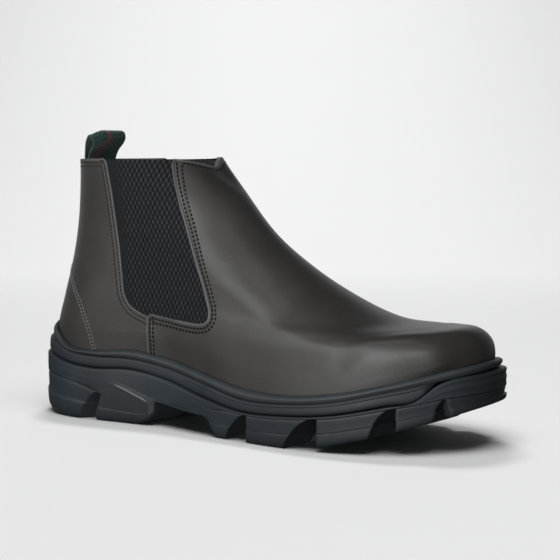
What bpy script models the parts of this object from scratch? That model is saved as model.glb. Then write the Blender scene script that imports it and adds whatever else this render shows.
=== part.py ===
"""Pull-on leather work boot: ankle upper with elastic side gores on a lugged rubber sole.

It is a right shoe, standing on the floor. The design frame is in millimetres: x runs from the back of
the lasted edge towards the toe, y is positive towards the medial (inner) side and z is up from the
floor. The whole boot is then moved so that the middle of its outline lies on the origin.
"""

from functools import partial

import bmesh
import bpy
import numpy as np

MM = 0.001
GAP = 0.3  # clearance between neighbouring pieces

# Driving sizes of the boot
SOLE_HEEL_X = -8.0
SOLE_TOE_X = 293.0
HEEL_ROUND = 45.0  # length over which the heel end of the sole is rounded
TOE_ROUND = 81.0  # length over which the toe end of the sole is rounded
HEEL_POWER = 2.2  # fullness of the rounded ends: 2 is an ellipse, more is squarer
TOE_POWER = 2.3
TOE_SWING = 9.0  # how far the toe tip lies to the medial side of the heel's middle
SWING_FROM_X = 157.0
LASTED_INSET = 7.0  # from the sole's outer wall in to the leather
LEATHER_WALL = 2.2
SHAFT_HALF_WIDTH = 34.0
INSOLE_THICK = 4.0
TUCK_FROM_X = 258.0  # ahead of this the midsole slips in behind the outsole's toe bumper
TUCK_LENGTH = 18.0
TOE_TUCK = 3.6
RIM_HEEL_SHARE = 0.6  # the rim's thickness at the back of the heel, as a share of its usual thickness
RIM_HEEL_LENGTH = 30.0
GORE_RECESS = 0.5  # how far the elastic lies below the leather's face
GORE_WALL = 1.4
GORE_SPAN = (0.25, 0.995)  # levels of the upper's form between which the gores are cut


def table(columns, *rows):
    """A short table as arrays by column name."""
    return dict(zip(columns, np.array(rows, float).T))


# Half widths of the sole's plan, before its ends are rounded
SOLE_PLAN = table(
    ("x", "lateral", "medial"),
    (-8, 38.5, 37.0),
    (34, 39.5, 38.0),
    (100, 39.7, 34.5),
    (148, 49.2, 37.0),
    (203, 56.0, 50.0),
    (245, 53.4, 54.0),
    (293, 46.0, 50.0),
)

# Heights of the lines round the sole: top of the rim, seat of the upper, parting of midsole and outsole
SOLE_LINES = table(
    ("x", "rim", "seat", "parting"),
    (-8, 59.0, 49.0, 39.0),
    (8, 53.0, 46.3, 37.5),
    (24, 44.2, 41.3, 34.4),
    (45, 42.5, 39.4, 32.3),
    (72, 44.2, 39.6, 33.2),
    (100, 41.0, 36.2, 29.2),
    (130, 35.0, 30.2, 22.4),
    (160, 29.6, 24.2, 17.4),
    (190, 28.9, 24.6, 18.0),
    (220, 32.4, 28.0, 21.0),
    (248, 38.5, 34.4, 26.8),
    (263, 42.4, 37.9, 30.4),
    (273, 45.2, 40.4, 39.0),
    (293, 50.0, 45.3, 44.3),
)

# Underside of the sole: heel bevel, heel, breast, arch, front lugs and toe spring
TREAD = table(
    ("x", "z"),
    (-8, 8.5),
    (2, 3.0),
    (12, 0.0),
    (78, 0.0),
    (86, 3.2),
    (89, 8.0),
    (90, 14.9),
    (112, 13.6),
    (132, 11.2),
    (135, 8.5),
    (138, 2.5),
    (142, 0.0),
    (196, 0.0),
    (215, 2.9),
    (240, 8.6),
    (265, 16.2),
    (293, 25.5),
)

# Rings of the upper, from the lasted edge to the collar. Front and back are where a ring crosses the
# middle, bow is its share of the seat line's dip, grow its swell over the lasted outline and shaft its
# share of the leg's width. Nose and heel are the lengths of its rounded ends, the powers their fullness.
UPPER_RINGS = table(
    (
        *("front_x", "front_z", "back_x", "back_z", "bow", "grow", "shaft"),
        *("nose", "nose_power", "heel", "heel_power"),
    ),
    (286.0, 44.0, -1.0, 47.8, 1.00, 0.0, 0.00, 76, 2.30, 38, 2.20),
    (287.2, 52.0, -0.8, 55.0, 0.95, 0.6, 0.06, 74, 2.30, 38, 2.20),
    (284.6, 61.0, 1.2, 64.0, 0.86, 1.2, 0.14, 72, 2.30, 38, 2.15),
    (276.0, 68.2, 3.4, 73.0, 0.74, 0.8, 0.24, 72, 2.25, 39, 2.10),
    (259.0, 70.6, 5.6, 82.0, 0.58, 0.0, 0.36, 74, 2.20, 40, 2.10),
    (236.0, 73.6, 7.8, 92.0, 0.42, -1.0, 0.50, 74, 2.15, 42, 2.05),
    (210.0, 83.2, 9.8, 102.0, 0.30, -1.5, 0.64, 74, 2.10, 44, 2.00),
    (181.0, 97.8, 12.0, 113.0, 0.20, -1.5, 0.78, 74, 2.05, 46, 2.00),
    (152.0, 117.4, 14.2, 127.0, 0.12, -1.0, 0.90, 68, 2.00, 47, 2.00),
    (128.2, 142.4, 15.6, 143.0, 0.05, 0.0, 0.98, 55, 2.00, 48, 2.00),
    (111.5, 160.5, 16.0, 159.5, 0.00, 0.0, 1.00, 48, 2.00, 48, 2.00),
)

# Section of the rim: heights of its outer and inner face as shares of its own, and its thickness
RIM_SECTION = table(
    ("outer_share", "thick", "inner_share"),
    (0.00, 3.6, 0.00),
    (0.35, 4.5, 0.30),
    (0.72, 4.1, 0.65),
    (1.00, 2.2, 0.94),
)
RIM_SPAN = (0.0, 0.3)  # levels of the upper's form that the rim can reach

# Band of the midsole: share of the height above the parting, and swell beyond the sole's outline
MIDSOLE_WALL = table(
    ("share", "grow"),
    (0.00, -2.0),
    (0.20, -1.1),
    (0.75, -1.5),
    (1.00, -3.8),
)

# Wall of the outsole: share of the height above the tread, and swell beyond the sole's outline
OUTSOLE_WALL = table(
    ("share", "grow"),
    (0.00, -2.8),
    (0.10, -1.0),
    (0.43, 0.3),
    (0.47, -0.6),
    (0.80, 0.0),
    (0.94, -0.3),
    (1.00, -1.6),
)

# Notches between the side lugs: foot and top of the scooped face, the upright face ahead, and the crown
LUG_NOTCHES = table(
    ("foot_x", "top_x", "upright_x", "crown_z"),
    (38.8, 49.4, 50.4, 16.0),
    (149.0, 162.6, 164.2, 15.8),
    (190.4, 207.4, 211.2, 18.0),
    (240.0, 250.4, 253.8, 26.0),
    (270.4, 275.6, 279.0, 31.0),
)
NOTCH_REACH = 28.0  # how far a notch runs in from the sole's edge
NOTCH_TURN = 10.0  # degrees that a notch is turned forwards as it runs in
NOTCH_STEPS = 4  # facets of the scooped face
CUT_OVER = 12.0  # how far a cutter stands out beyond what it cuts
CHANNEL_HALF_WIDTH = 7.0
CHANNEL_DEPTH = 5.0
CHANNEL_TAPER = 2.0
CHANNEL_SPANS = ((20.0, 79.0), (152.0, 262.0))

# Gore window as seen from the side: its back and front edges by height, then its floor
GORE_EDGES = table(
    ("z", "back_x", "front_x"),
    (172.0, 50.6, 92.6),
    (157.0, 53.7, 97.8),
    (144.0, 56.4, 102.4),
    (124.0, 59.5, 109.7),
    (107.0, 61.9, 116.7),
    (90.0, 64.0, 123.9),
    (78.0, 66.9, 128.5),
)
GORE_FLOOR = table(
    ("x", "z"),
    (70.8, 71.4),
    (78.0, 68.0),
    (86.0, 66.3),
    (101.0, 64.9),
    (110.0, 63.7),
    (119.5, 63.0),
    (125.0, 63.1),
    (129.4, 64.4),
    (131.5, 67.4),
    (131.1, 71.4),
)

# Pull loop: a tape folded into a hairpin. Its path runs in from the back leather (x), above the collar (z)
LOOP_WIDTH = 28.0
LOOP_TAPE = 1.3
LOOP_FLAT = 0.6  # how much of the collar's curve the tape has lost at its fold
LOOP_PATH = table(
    ("x", "z"),
    (1.0, -16.0),
    (1.0, -6.0),
    (1.2, 2.5),
    (3.6, 9.6),
    (7.0, 14.8),
    (10.6, 17.6),
    (13.4, 16.8),
    (13.8, 13.6),
    (11.2, 10.0),
    (7.0, 6.4),
    (3.8, 1.6),
    (2.8, -6.0),
    (2.8, -16.0),
)
LOOP_STEPS = 3  # points along the tape between two rows
LOOP_ACROSS = 9

# Facets
RING_STATIONS = 27
UPPER_LEVELS = 17
SOLE_STATIONS = 31
GORE_LEVELS = 15
CLIMB_STATIONS = 15
SHARP_ANGLE = 35.0

# Colour and roughness of each finish
FINISHES = {
    "leather": ((0.075, 0.068, 0.063), 0.42),
    "elastic": ((0.018, 0.019, 0.021), 0.85),
    "webbing": ((0.020, 0.045, 0.035), 0.80),
    "lining": ((0.030, 0.029, 0.028), 0.90),
    "rubber": ((0.032, 0.038, 0.042), 0.55),
}


def spline(knots, values, at):
    """Cubic through the knots, with each knot's slope taken from its neighbours."""
    at = np.asarray(at, float)
    slope = np.gradient(values, knots)
    i = np.clip(np.searchsorted(knots, at) - 1, 0, len(knots) - 2)
    width = knots[i + 1] - knots[i]
    t = np.clip((at - knots[i]) / width, 0.0, 1.0)
    rise = (1 + 2 * t) * (1 - t) ** 2 * values[i] + t * t * (3 - 2 * t) * values[i + 1]
    lean = t * (1 - t) ** 2 * slope[i] + t * t * (t - 1) * slope[i + 1]
    return rise + width * lean


def round_end(t, power):
    """Quarter of a superellipse: 0 at the tip, 1 where the rounding ends."""
    return (1 - (1 - np.clip(t, 0, 1)) ** power) ** (1 / power)


def ease(t):
    """Soft step from 0 to 1."""
    t = np.clip(t, 0, 1)
    return t * t * (3 - 2 * t)


def end_dense(count):
    """Shares from 0 to 1 that crowd towards both ends."""
    return (1 - np.cos(np.linspace(0, np.pi, count))) / 2


def middle_y(x):
    """The curved middle line, which swings to the medial side at the toe."""
    t = np.clip((np.asarray(x, float) - SWING_FROM_X) / (SOLE_TOE_X - SWING_FROM_X), 0, None)
    return TOE_SWING * t**2


def sole_edge(x, side, grow):
    """y of the sole's outline at x on one side, swollen outwards by grow."""
    length = SOLE_TOE_X - SOLE_HEEL_X
    share = np.clip((np.asarray(x, float) - SOLE_HEEL_X + grow) / (length + 2 * grow), 0, 1)
    along = SOLE_HEEL_X + length * share
    half = spline(SOLE_PLAN["x"], SOLE_PLAN[side], along) + grow
    ends = round_end(share * length / HEEL_ROUND, HEEL_POWER)
    ends = ends * round_end((1 - share) * length / TOE_ROUND, TOE_POWER)
    sign = -1 if side == "lateral" else 1
    return middle_y(x) + sign * half * ends


def sole_line(name, x):
    return spline(SOLE_LINES["x"], SOLE_LINES[name], np.clip(x, SOLE_HEEL_X, SOLE_TOE_X))


def tread_z(x):
    return np.interp(x, TREAD["x"], TREAD["z"])


def loop_of(x, lateral_y, medial_y, z):
    """Closed loop of points: heel to toe on the lateral side, then back on the medial side."""
    there = np.stack([x, lateral_y, z], -1)
    back = np.stack([x, medial_y, z], -1)[-2:0:-1]
    return np.concatenate([there, back])


def sole_loop(shares, grow, height, tuck=0.0):
    """Loop round the sole's outline. height gives z at each x, tuck is an extra inset at the toe."""
    x = SOLE_HEEL_X - grow + (SOLE_TOE_X - SOLE_HEEL_X + 2 * grow - tuck) * shares
    grow = grow - tuck * ease((x - TUCK_FROM_X) / TUCK_LENGTH)
    return loop_of(x, sole_edge(x, "lateral", grow), sole_edge(x, "medial", grow), height(x))


def upper_ring(level):
    """The row of ring sizes at a level, 0 at the lasted edge and 1 at the collar."""
    knots = np.linspace(0, 1, len(UPPER_RINGS["bow"]))
    return {name: float(spline(knots, values, level)) for name, values in UPPER_RINGS.items()}


def upper_loop(level, shares):
    """Loop of points round the outside of the upper at a level."""
    ring = upper_ring(level)
    length = ring["front_x"] - ring["back_x"]
    x = ring["back_x"] + length * shares
    ends = round_end(length * shares / ring["heel"], ring["heel_power"])
    ends = ends * round_end(length * (1 - shares) / ring["nose"], ring["nose_power"])
    sides = []
    for side, sign in (("lateral", -1), ("medial", 1)):
        foot = spline(SOLE_PLAN["x"], SOLE_PLAN[side], x) - LASTED_INSET
        half = foot + ring["shaft"] * (SHAFT_HALF_WIDTH - foot) + ring["grow"]
        sides.append(middle_y(x) * (1 - ring["shaft"]) + sign * half * ends)
    chord = ring["back_z"] + (ring["front_z"] - ring["back_z"]) * shares
    lasted_back = UPPER_RINGS["back_z"][0]
    lasted_chord = lasted_back + (UPPER_RINGS["front_z"][0] - lasted_back) * shares
    dip = sole_line("seat", x) + GAP - lasted_chord
    return loop_of(x, sides[0], sides[1], chord + ring["bow"] * dip)


def upper_skin(levels, inset):
    """Grid of points on the upper's form, set in from its outer face by inset."""
    shares = end_dense(RING_STATIONS)
    grid = np.array([upper_loop(level, shares) for level in levels])
    around = np.roll(grid, -1, axis=1) - np.roll(grid, 1, axis=1)
    up = np.gradient(grid, axis=0)
    normal = np.cross(around, up)
    for edge in (0, -1):
        normal[edge, :, 2] = 0
    normal /= np.linalg.norm(normal, axis=2, keepdims=True)
    return grid - inset * normal


def make_material(name, finish):
    colour, roughness = FINISHES[finish]
    material = bpy.data.materials.new(name)
    material.use_nodes = True
    shader = material.node_tree.nodes["Principled BSDF"]
    shader.inputs["Base Color"].default_value = (*colour, 1)
    shader.inputs["Roughness"].default_value = roughness
    shader.inputs["Metallic"].default_value = 0
    return material


def solid(name, points, faces, finish=None):
    """Object from points in millimetres and faces, turned outwards. With no finish it is a cutter."""
    mesh = bpy.data.meshes.new(name)
    mesh.from_pydata((np.asarray(points) * MM).tolist(), [], faces)
    shape = bmesh.new()
    shape.from_mesh(mesh)
    bmesh.ops.recalc_face_normals(shape, faces=shape.faces)
    shape.to_mesh(mesh)
    shape.free()
    obj = bpy.data.objects.new(name, mesh)
    bpy.context.scene.collection.objects.link(obj)
    if finish:
        mesh.materials.append(make_material(name, finish))
        mesh.shade_smooth()
        mesh.set_sharp_from_angle(angle=np.radians(SHARP_ANGLE))
    else:
        obj.hide_render = True
        obj.display_type = "WIRE"
    return obj


def wall_faces(first, second, count):
    """Quads between two closed loops of points, given where each loop starts."""
    steps = [(i, (i + 1) % count) for i in range(count)]
    return [(first + i, first + j, second + j, second + i) for i, j in steps]


def ladder_faces(start, count):
    """Faces that close a loop, rung by rung from the heel to the toe."""
    half = count // 2
    faces = [(start, start + 1, start + count - 1)]
    for i in range(1, half - 1):
        faces.append((start + i, start + i + 1, start + count - i - 1, start + count - i))
    faces.append((start + half - 1, start + half, start + half + 1))
    return faces


def shell(name, outer, inner, finish):
    """Solid between two grids of loops, open at its top and bottom."""
    levels, count = outer.shape[:2]
    points = np.concatenate([outer.reshape(-1, 3), inner.reshape(-1, 3)])
    depth = levels * count
    faces = []
    for i in range(levels - 1):
        faces += wall_faces(i * count, (i + 1) * count, count)
        faces += wall_faces(depth + i * count, depth + (i + 1) * count, count)
    faces += wall_faces(0, depth, count)
    faces += wall_faces(depth - count, 2 * depth - count, count)
    return solid(name, points, faces, finish)


def plate(name, loops, finish):
    """Solid through a stack of loops, closed rung by rung at both ends."""
    count = len(loops[0])
    faces = ladder_faces(0, count) + ladder_faces((len(loops) - 1) * count, count)
    for i in range(len(loops) - 1):
        faces += wall_faces(i * count, (i + 1) * count, count)
    return solid(name, np.concatenate(loops), faces, finish)


def prism(name, outline, low_y, high_y):
    """Cutter: an outline in x and z, run across from low_y to high_y."""
    count = len(outline)
    points = [(x, y, z) for y in (low_y, high_y) for x, z in outline]
    faces = [tuple(range(count)), tuple(range(count, 2 * count))] + wall_faces(0, count, count)
    return solid(name, points, faces)


def cut(obj, operation, other):
    change = obj.modifiers.new(operation.lower(), "BOOLEAN")
    change.operation = operation
    change.object = other
    change.solver = "EXACT"


def gore_outline(grow):
    """Outline of the gore window, swollen by grow, from its top back corner to its top front corner."""
    back = np.stack([GORE_EDGES["back_x"], GORE_EDGES["z"]], -1)
    floor = np.stack([GORE_FLOOR["x"], GORE_FLOOR["z"]], -1)
    front = np.stack([GORE_EDGES["front_x"], GORE_EDGES["z"]], -1)[::-1]
    edge = np.concatenate([back, floor, front])
    along = np.gradient(edge, axis=0)
    along /= np.linalg.norm(along, axis=1, keepdims=True)
    return edge + grow * np.stack([along[:, 1], -along[:, 0]], -1)


def make_upper():
    levels = np.linspace(0, 1, UPPER_LEVELS)
    upper = shell("upper", upper_skin(levels, 0), upper_skin(levels, LEATHER_WALL), "leather")
    window = prism("gore_window", gore_outline(0), -2 * SHAFT_HALF_WIDTH, 2 * SHAFT_HALF_WIDTH)
    cut(upper, "DIFFERENCE", window)
    return upper


def make_gores():
    """Two elastic panels that fill the windows, one on each side, a little below the leather's face."""
    gores = []
    levels = np.linspace(*GORE_SPAN, GORE_LEVELS)
    face = upper_skin(levels, GORE_RECESS)
    back = upper_skin(levels, GORE_RECESS + GORE_WALL)
    reach = 2 * SHAFT_HALF_WIDTH
    for name, low_y, high_y in (("gore_lateral", -reach, 0), ("gore_medial", 0, reach)):
        gore = shell(name, face, back, "elastic")
        cut(gore, "INTERSECT", prism(name + "_trim", gore_outline(-GAP), low_y, high_y))
        gores.append(gore)
    return gores


def make_insole():
    """Plate that fills the upper's open underside, inside its wall."""
    low = upper_skin(np.linspace(0, 0.1, 5), LEATHER_WALL + 2 * GAP)[0]
    low[:, 2] = sole_line("seat", low[:, 0]) + GAP
    return plate("insole", [low, low + (0, 0, INSOLE_THICK)], "lining")


def rim_height(x, share):
    seat = sole_line("seat", x) + GAP
    return seat + share * (sole_line("rim", x) - seat)


def against_upper(share, outset):
    """Loop that lies outside the leather by outset, at a share of the rim's height."""
    levels = np.linspace(*RIM_SPAN, 31)
    skin = upper_skin(levels, 0)
    normal = (skin - upper_skin(levels, 1))[0]
    loop = skin[0].copy()
    loop[:, 2] = rim_height(loop[:, 0], share)
    for i, height in enumerate(loop[:, 2]):
        loop[i, :2] = [np.interp(height, skin[:, i, 2], skin[:, i, axis]) for axis in (0, 1)]
    loop += normal * outset
    loop[:, 2] = rim_height(loop[:, 0], share)
    return loop


def make_rim():
    """Rolled rim that stands round the lasted edge, taller and thinner behind the heel."""
    from_heel = upper_loop(0, end_dense(RING_STATIONS))[:, :1] - UPPER_RINGS["back_x"][0]
    fill = RIM_HEEL_SHARE + (1 - RIM_HEEL_SHARE) * ease(from_heel / RIM_HEEL_LENGTH)
    faces = zip(RIM_SECTION["outer_share"], RIM_SECTION["thick"])
    outer = np.array([against_upper(share, GAP + thick * fill) for share, thick in faces])
    inner = np.array([against_upper(share, GAP) for share in RIM_SECTION["inner_share"]])
    return shell("rim", outer, inner, "rubber")


def sole_stations():
    """Shares along the sole: one at each corner of the tread, and a close run where the parting climbs."""
    climb = np.linspace(TUCK_FROM_X, TUCK_FROM_X + 1.5 * TUCK_LENGTH, CLIMB_STATIONS)
    corners = (np.concatenate([TREAD["x"][1:-1], climb]) - SOLE_HEEL_X) / (SOLE_TOE_X - SOLE_HEEL_X)
    shares = np.sort(np.concatenate([end_dense(SOLE_STATIONS), corners]))
    keep = np.concatenate([[True], np.diff(shares) > 0.002])
    return shares[keep]


def stack(shares, wall, low, high, tuck=0.0):
    """Loops up a wall, each at its share of the way from the low line to the high one."""
    loops = []
    for share, grow in zip(wall["share"], wall["grow"]):
        height = partial(between, share, low, high)
        loops.append(sole_loop(shares, grow, height, tuck))
    return loops


def between(share, low, high, x):
    return low(x) + share * (high(x) - low(x))


def make_midsole():
    """Smooth band between the rim and the outsole."""
    low = partial(sole_line, "parting")
    high = partial(sole_line, "seat")
    return plate("midsole", stack(sole_stations(), MIDSOLE_WALL, low, high, TOE_TUCK), "rubber")


def outsole_top(x):
    return sole_line("parting", x) - GAP


def make_outsole():
    """Heel, arch, lugs and toe bumper in one, with notches and channels cut into its tread."""
    outsole = plate("outsole", stack(sole_stations(), OUTSOLE_WALL, tread_z, outsole_top), "rubber")
    for cutter in notch_cutters() + channel_cutters():
        cut(outsole, "DIFFERENCE", cutter)
    return outsole


def notch_profile(foot, top, upright, crown):
    """Outline of a notch in x and z: scooped behind, upright ahead, open below the tread."""
    turn = np.linspace(0, np.pi / 2, NOTCH_STEPS + 1)
    along = (1 - np.cos(turn) + turn / turn[-1]) / 2
    rise = (np.sin(turn) + turn / turn[-1]) / 2
    base = tread_z(foot)
    below = base - CUT_OVER
    scoop = list(zip(foot + (top - foot) * along, base + (crown - base) * rise))
    return [(foot, below)] + scoop + [(upright, crown), (upright, below)]


def notch_cutters():
    """Scoops that part the side lugs, on both sides of the sole."""
    cutters = []
    columns = zip(*(LUG_NOTCHES[name] for name in ("foot_x", "top_x", "upright_x", "crown_z")))
    slope = np.tan(np.radians(NOTCH_TURN))
    for row, sizes in enumerate(columns):
        profile = notch_profile(*sizes)
        for side, sign in (("lateral", -1), ("medial", 1)):
            edge = sole_edge(sizes[2], side, 0)
            points = []
            for reach in (-CUT_OVER, NOTCH_REACH):
                points += [(x + slope * reach, edge - sign * reach, z) for x, z in profile]
            count = len(profile)
            faces = [tuple(range(count)), tuple(range(count, 2 * count))] + wall_faces(0, count, count)
            cutters.append(solid(f"notch_{side}_{row}", points, faces))
    return cutters


def channel_cutters():
    """Grooves along the middle of the heel and of the forefoot, which follow the tread."""
    cutters = []
    for row, (start, end) in enumerate(CHANNEL_SPANS):
        x = np.linspace(start, end, 9)
        top = tread_z(x) + CHANNEL_DEPTH
        low = tread_z(x) - CUT_OVER
        middle = middle_y(x)
        foot = CHANNEL_HALF_WIDTH
        crown = CHANNEL_HALF_WIDTH - CHANNEL_TAPER
        corners = ((-foot, low), (foot, low), (crown, top), (-crown, top))
        points = [(x[i], middle[i] + dy, z[i]) for i in range(len(x)) for dy, z in corners]
        faces = [(0, 1, 2, 3), tuple(range(len(points) - 4, len(points)))]
        for i in range(len(x) - 1):
            faces += wall_faces(4 * i, 4 * i + 4, 4)
        cutters.append(solid(f"channel_{row}", points, faces))
    return cutters


def make_pull_loop():
    """Tape loop whose two ends are sewn inside the back of the collar, curved across as the collar is."""
    collar = upper_ring(1.0)
    count = LOOP_STEPS * (len(LOOP_PATH["x"]) - 1) + 1
    knots = np.linspace(0, 1, len(LOOP_PATH["x"]))
    path = np.stack([spline(knots, LOOP_PATH[axis], np.linspace(0, 1, count)) for axis in ("x", "z")], -1)
    along = np.gradient(path, axis=0)
    along /= np.linalg.norm(along, axis=1, keepdims=True)
    outwards = np.stack([along[:, 1], -along[:, 0]], -1) * LOOP_TAPE / 2
    y = np.linspace(-LOOP_WIDTH / 2, LOOP_WIDTH / 2, LOOP_ACROSS)
    inner_length = collar["heel"] - LEATHER_WALL
    inner_width = SHAFT_HALF_WIDTH - LEATHER_WALL
    wrap = inner_length * (1 - np.sqrt(1 - (y / inner_width) ** 2))
    start = np.array((collar["back_x"] + LEATHER_WALL, collar["back_z"]))
    points = []
    for middle, step in zip(path, outwards):
        curve = 1 - LOOP_FLAT * ease(middle[1] / LOOP_PATH["z"].max())
        for face, row in ((1, range(LOOP_ACROSS)), (-1, reversed(range(LOOP_ACROSS)))):
            x, z = start + middle + face * step
            points += [(x + curve * wrap[i], y[i], z) for i in row]
    ring = 2 * LOOP_ACROSS
    faces = [tuple(range(ring)), tuple(range(len(points) - ring, len(points)))]
    for i in range(count - 1):
        faces += wall_faces(ring * i, ring * (i + 1), ring)
    return solid("pull_loop", points, faces, "webbing")


def centre(objects):
    """Carries every piece on one empty, moved so that the boot's outline is centred on the origin."""
    boot = bpy.data.objects.new("boot", None)
    bpy.context.scene.collection.objects.link(boot)
    corners = np.array([corner for obj in objects for corner in obj.bound_box])
    middle = (corners.min(0) + corners.max(0)) / 2
    boot.location = (-middle[0], -middle[1], 0)
    for obj in bpy.data.objects:
        if obj is not boot:
            obj.parent = boot


def main():
    for obj in list(bpy.data.objects):
        bpy.data.objects.remove(obj)
    pieces = [make_upper(), *make_gores(), make_pull_loop()]
    pieces += [make_insole(), make_rim(), make_midsole(), make_outsole()]
    centre(pieces)


main()
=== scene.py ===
"""Looks of the pull-on leather work boot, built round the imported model.

Shapes are worked out in the part's design frame, in millimetres: x runs from the back of the lasted edge
towards the toe, y is positive towards the medial (inner) side and z is up from the floor.
"""

import bmesh
import bpy
import numpy as np
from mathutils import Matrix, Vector


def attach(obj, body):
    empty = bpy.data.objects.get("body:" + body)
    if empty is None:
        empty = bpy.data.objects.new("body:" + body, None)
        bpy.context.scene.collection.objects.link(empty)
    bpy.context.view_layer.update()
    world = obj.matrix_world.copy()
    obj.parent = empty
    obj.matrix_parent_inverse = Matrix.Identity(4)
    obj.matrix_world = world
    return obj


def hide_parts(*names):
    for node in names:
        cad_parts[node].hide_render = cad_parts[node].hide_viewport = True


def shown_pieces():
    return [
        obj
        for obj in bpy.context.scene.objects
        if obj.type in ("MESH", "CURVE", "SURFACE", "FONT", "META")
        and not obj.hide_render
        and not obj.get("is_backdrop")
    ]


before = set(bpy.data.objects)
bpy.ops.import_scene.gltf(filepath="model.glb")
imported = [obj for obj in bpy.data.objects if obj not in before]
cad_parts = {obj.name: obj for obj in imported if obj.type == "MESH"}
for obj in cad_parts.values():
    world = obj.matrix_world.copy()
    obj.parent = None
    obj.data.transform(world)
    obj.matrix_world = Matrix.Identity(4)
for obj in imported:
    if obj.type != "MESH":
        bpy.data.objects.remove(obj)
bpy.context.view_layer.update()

MM = 0.001
ORIGIN = np.array((142.5, 0.114573, 0.0))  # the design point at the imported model's origin
BODY = "root"
SHADE_BAND_FROM = 0.132  # height in metres at which the dark facing inside the collar starts, which paints the shade in the collar's mouth
SHADE_BAND_EDGE = 0.001  # and the width of its edge
LATERAL, MEDIAL = -1, 1

# Driving sizes and main tables, as in the part
GAP = 0.3
SOLE_HEEL_X = -8.0
SOLE_TOE_X = 293.0
SOLE_LENGTH = SOLE_TOE_X - SOLE_HEEL_X
HEEL_ROUND = 45.0
TOE_ROUND = 81.0
HEEL_POWER = 2.2
TOE_POWER = 2.3
TOE_SWING = 9.0
SWING_FROM_X = 157.0
LASTED_INSET = 7.0
LEATHER_WALL = 2.2
SHAFT_HALF_WIDTH = 34.0
TOE_TUCK = 3.6
RIM_HEEL_SHARE = 0.6
RIM_HEEL_LENGTH = 30.0
GORE_RECESS = 0.5
GORE_WALL = 1.4
NOTCH_REACH = 28.0
CHANNEL_HALF_WIDTH = 7.0
CHANNEL_DEPTH = 5.0
CHANNEL_TAPER = 2.0
LOOP_WIDTH = 28.0
LOOP_TAPE = 1.3
LOOP_FLAT = 0.6


def table(columns, *rows):
    """A short table as arrays by column name."""
    return dict(zip(columns, np.array(rows, float).T))


SOLE_PLAN = table(
    ("x", "lateral", "medial"),
    (-8, 38.5, 37.0), (34, 39.5, 38.0), (100, 39.7, 34.5), (148, 49.2, 37.0), (203, 56.0, 50.0),
    (245, 53.4, 54.0), (293, 46.0, 50.0),
)
SOLE_LINES = table(
    ("x", "rim", "seat", "parting"),
    (-8, 59.0, 49.0, 39.0),
    (8, 53.0, 46.3, 37.5),
    (24, 44.2, 41.3, 34.4),
    (45, 42.5, 39.4, 32.3),
    (72, 44.2, 39.6, 33.2),
    (100, 41.0, 36.2, 29.2),
    (130, 35.0, 30.2, 22.4),
    (160, 29.6, 24.2, 17.4),
    (190, 28.9, 24.6, 18.0),
    (220, 32.4, 28.0, 21.0),
    (248, 38.5, 34.4, 26.8),
    (263, 42.4, 37.9, 30.4),
    (273, 45.2, 40.4, 39.0),
    (293, 50.0, 45.3, 44.3),
)
UPPER_RINGS = table(
    (
        *("front_x", "front_z", "back_x", "back_z", "bow", "grow", "shaft"),
        *("nose", "nose_power", "heel", "heel_power"),
    ),
    (286.0, 44.0, -1.0, 47.8, 1.00, 0.0, 0.00, 76, 2.30, 38, 2.20),
    (287.2, 52.0, -0.8, 55.0, 0.95, 0.6, 0.06, 74, 2.30, 38, 2.20),
    (284.6, 61.0, 1.2, 64.0, 0.86, 1.2, 0.14, 72, 2.30, 38, 2.15),
    (276.0, 68.2, 3.4, 73.0, 0.74, 0.8, 0.24, 72, 2.25, 39, 2.10),
    (259.0, 70.6, 5.6, 82.0, 0.58, 0.0, 0.36, 74, 2.20, 40, 2.10),
    (236.0, 73.6, 7.8, 92.0, 0.42, -1.0, 0.50, 74, 2.15, 42, 2.05),
    (210.0, 83.2, 9.8, 102.0, 0.30, -1.5, 0.64, 74, 2.10, 44, 2.00),
    (181.0, 97.8, 12.0, 113.0, 0.20, -1.5, 0.78, 74, 2.05, 46, 2.00),
    (152.0, 117.4, 14.2, 127.0, 0.12, -1.0, 0.90, 68, 2.00, 47, 2.00),
    (128.2, 142.4, 15.6, 143.0, 0.05, 0.0, 0.98, 55, 2.00, 48, 2.00),
    (111.5, 160.5, 16.0, 159.5, 0.00, 0.0, 1.00, 48, 2.00, 48, 2.00),
)
LEVEL_KNOTS = np.linspace(0, 1, len(UPPER_RINGS["bow"]))
RIM_SECTION = table(
    ("share", "thick"),
    (0.00, 3.6), (0.35, 4.5), (0.72, 4.1), (1.00, 2.2),
)
LOOP_PATH = table(
    ("x", "z"),
    (1.0, -16.0), (1.0, -6.0), (1.2, 2.5), (3.6, 9.6), (7.0, 14.8), (10.6, 17.6), (13.4, 16.8),
    (13.8, 13.6), (11.2, 10.0), (7.0, 6.4), (3.8, 1.6), (2.8, -6.0), (2.8, -16.0),
)

# Tread line and notches between the side lugs, drawn more closely than in the part
TREAD = table(
    ("x", "z"),
    (-8, 8.5), (2, 3.0), (12, 0.0), (73, 0.0), (78, 0.4), (82, 1.2), (86, 2.7), (89, 4.8), (90.6, 7.4),
    (91.1, 10.4), (91.4, 14.6), (97, 14.3), (109, 12.9), (121.4, 12.0), (132.5, 11.4), (135.6, 9.2),
    (138.4, 3.6), (142, 0.0), (196, 0.0), (215, 2.9), (240, 8.6), (265, 16.2), (293, 25.5),
)
LUG_NOTCHES = table(
    ("foot_x", "top_x", "upright_x", "lean"),
    (35.8, 49.4, 47.4, 0.30),
    (149.0, 162.6, 164.2, 0.0),
    (190.4, 207.4, 211.2, 0.0),
    (240.0, 250.4, 253.8, 0.0),
    (270.4, 275.6, 279.0, -0.2),
)
NOTCH_SLOPE = 0.176  # way forwards that a lug's sides take for each step inwards
TUCK_FROM_X = 266.0  # where the midsole slips in behind the toe bumper
TUCK_LENGTH = 10.0
LOOP_DROOP = 3.0  # how far the tape's near edge has sunk at the top
LOOP_PINCH = 0.35  # and how much it is pressed flat there

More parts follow.
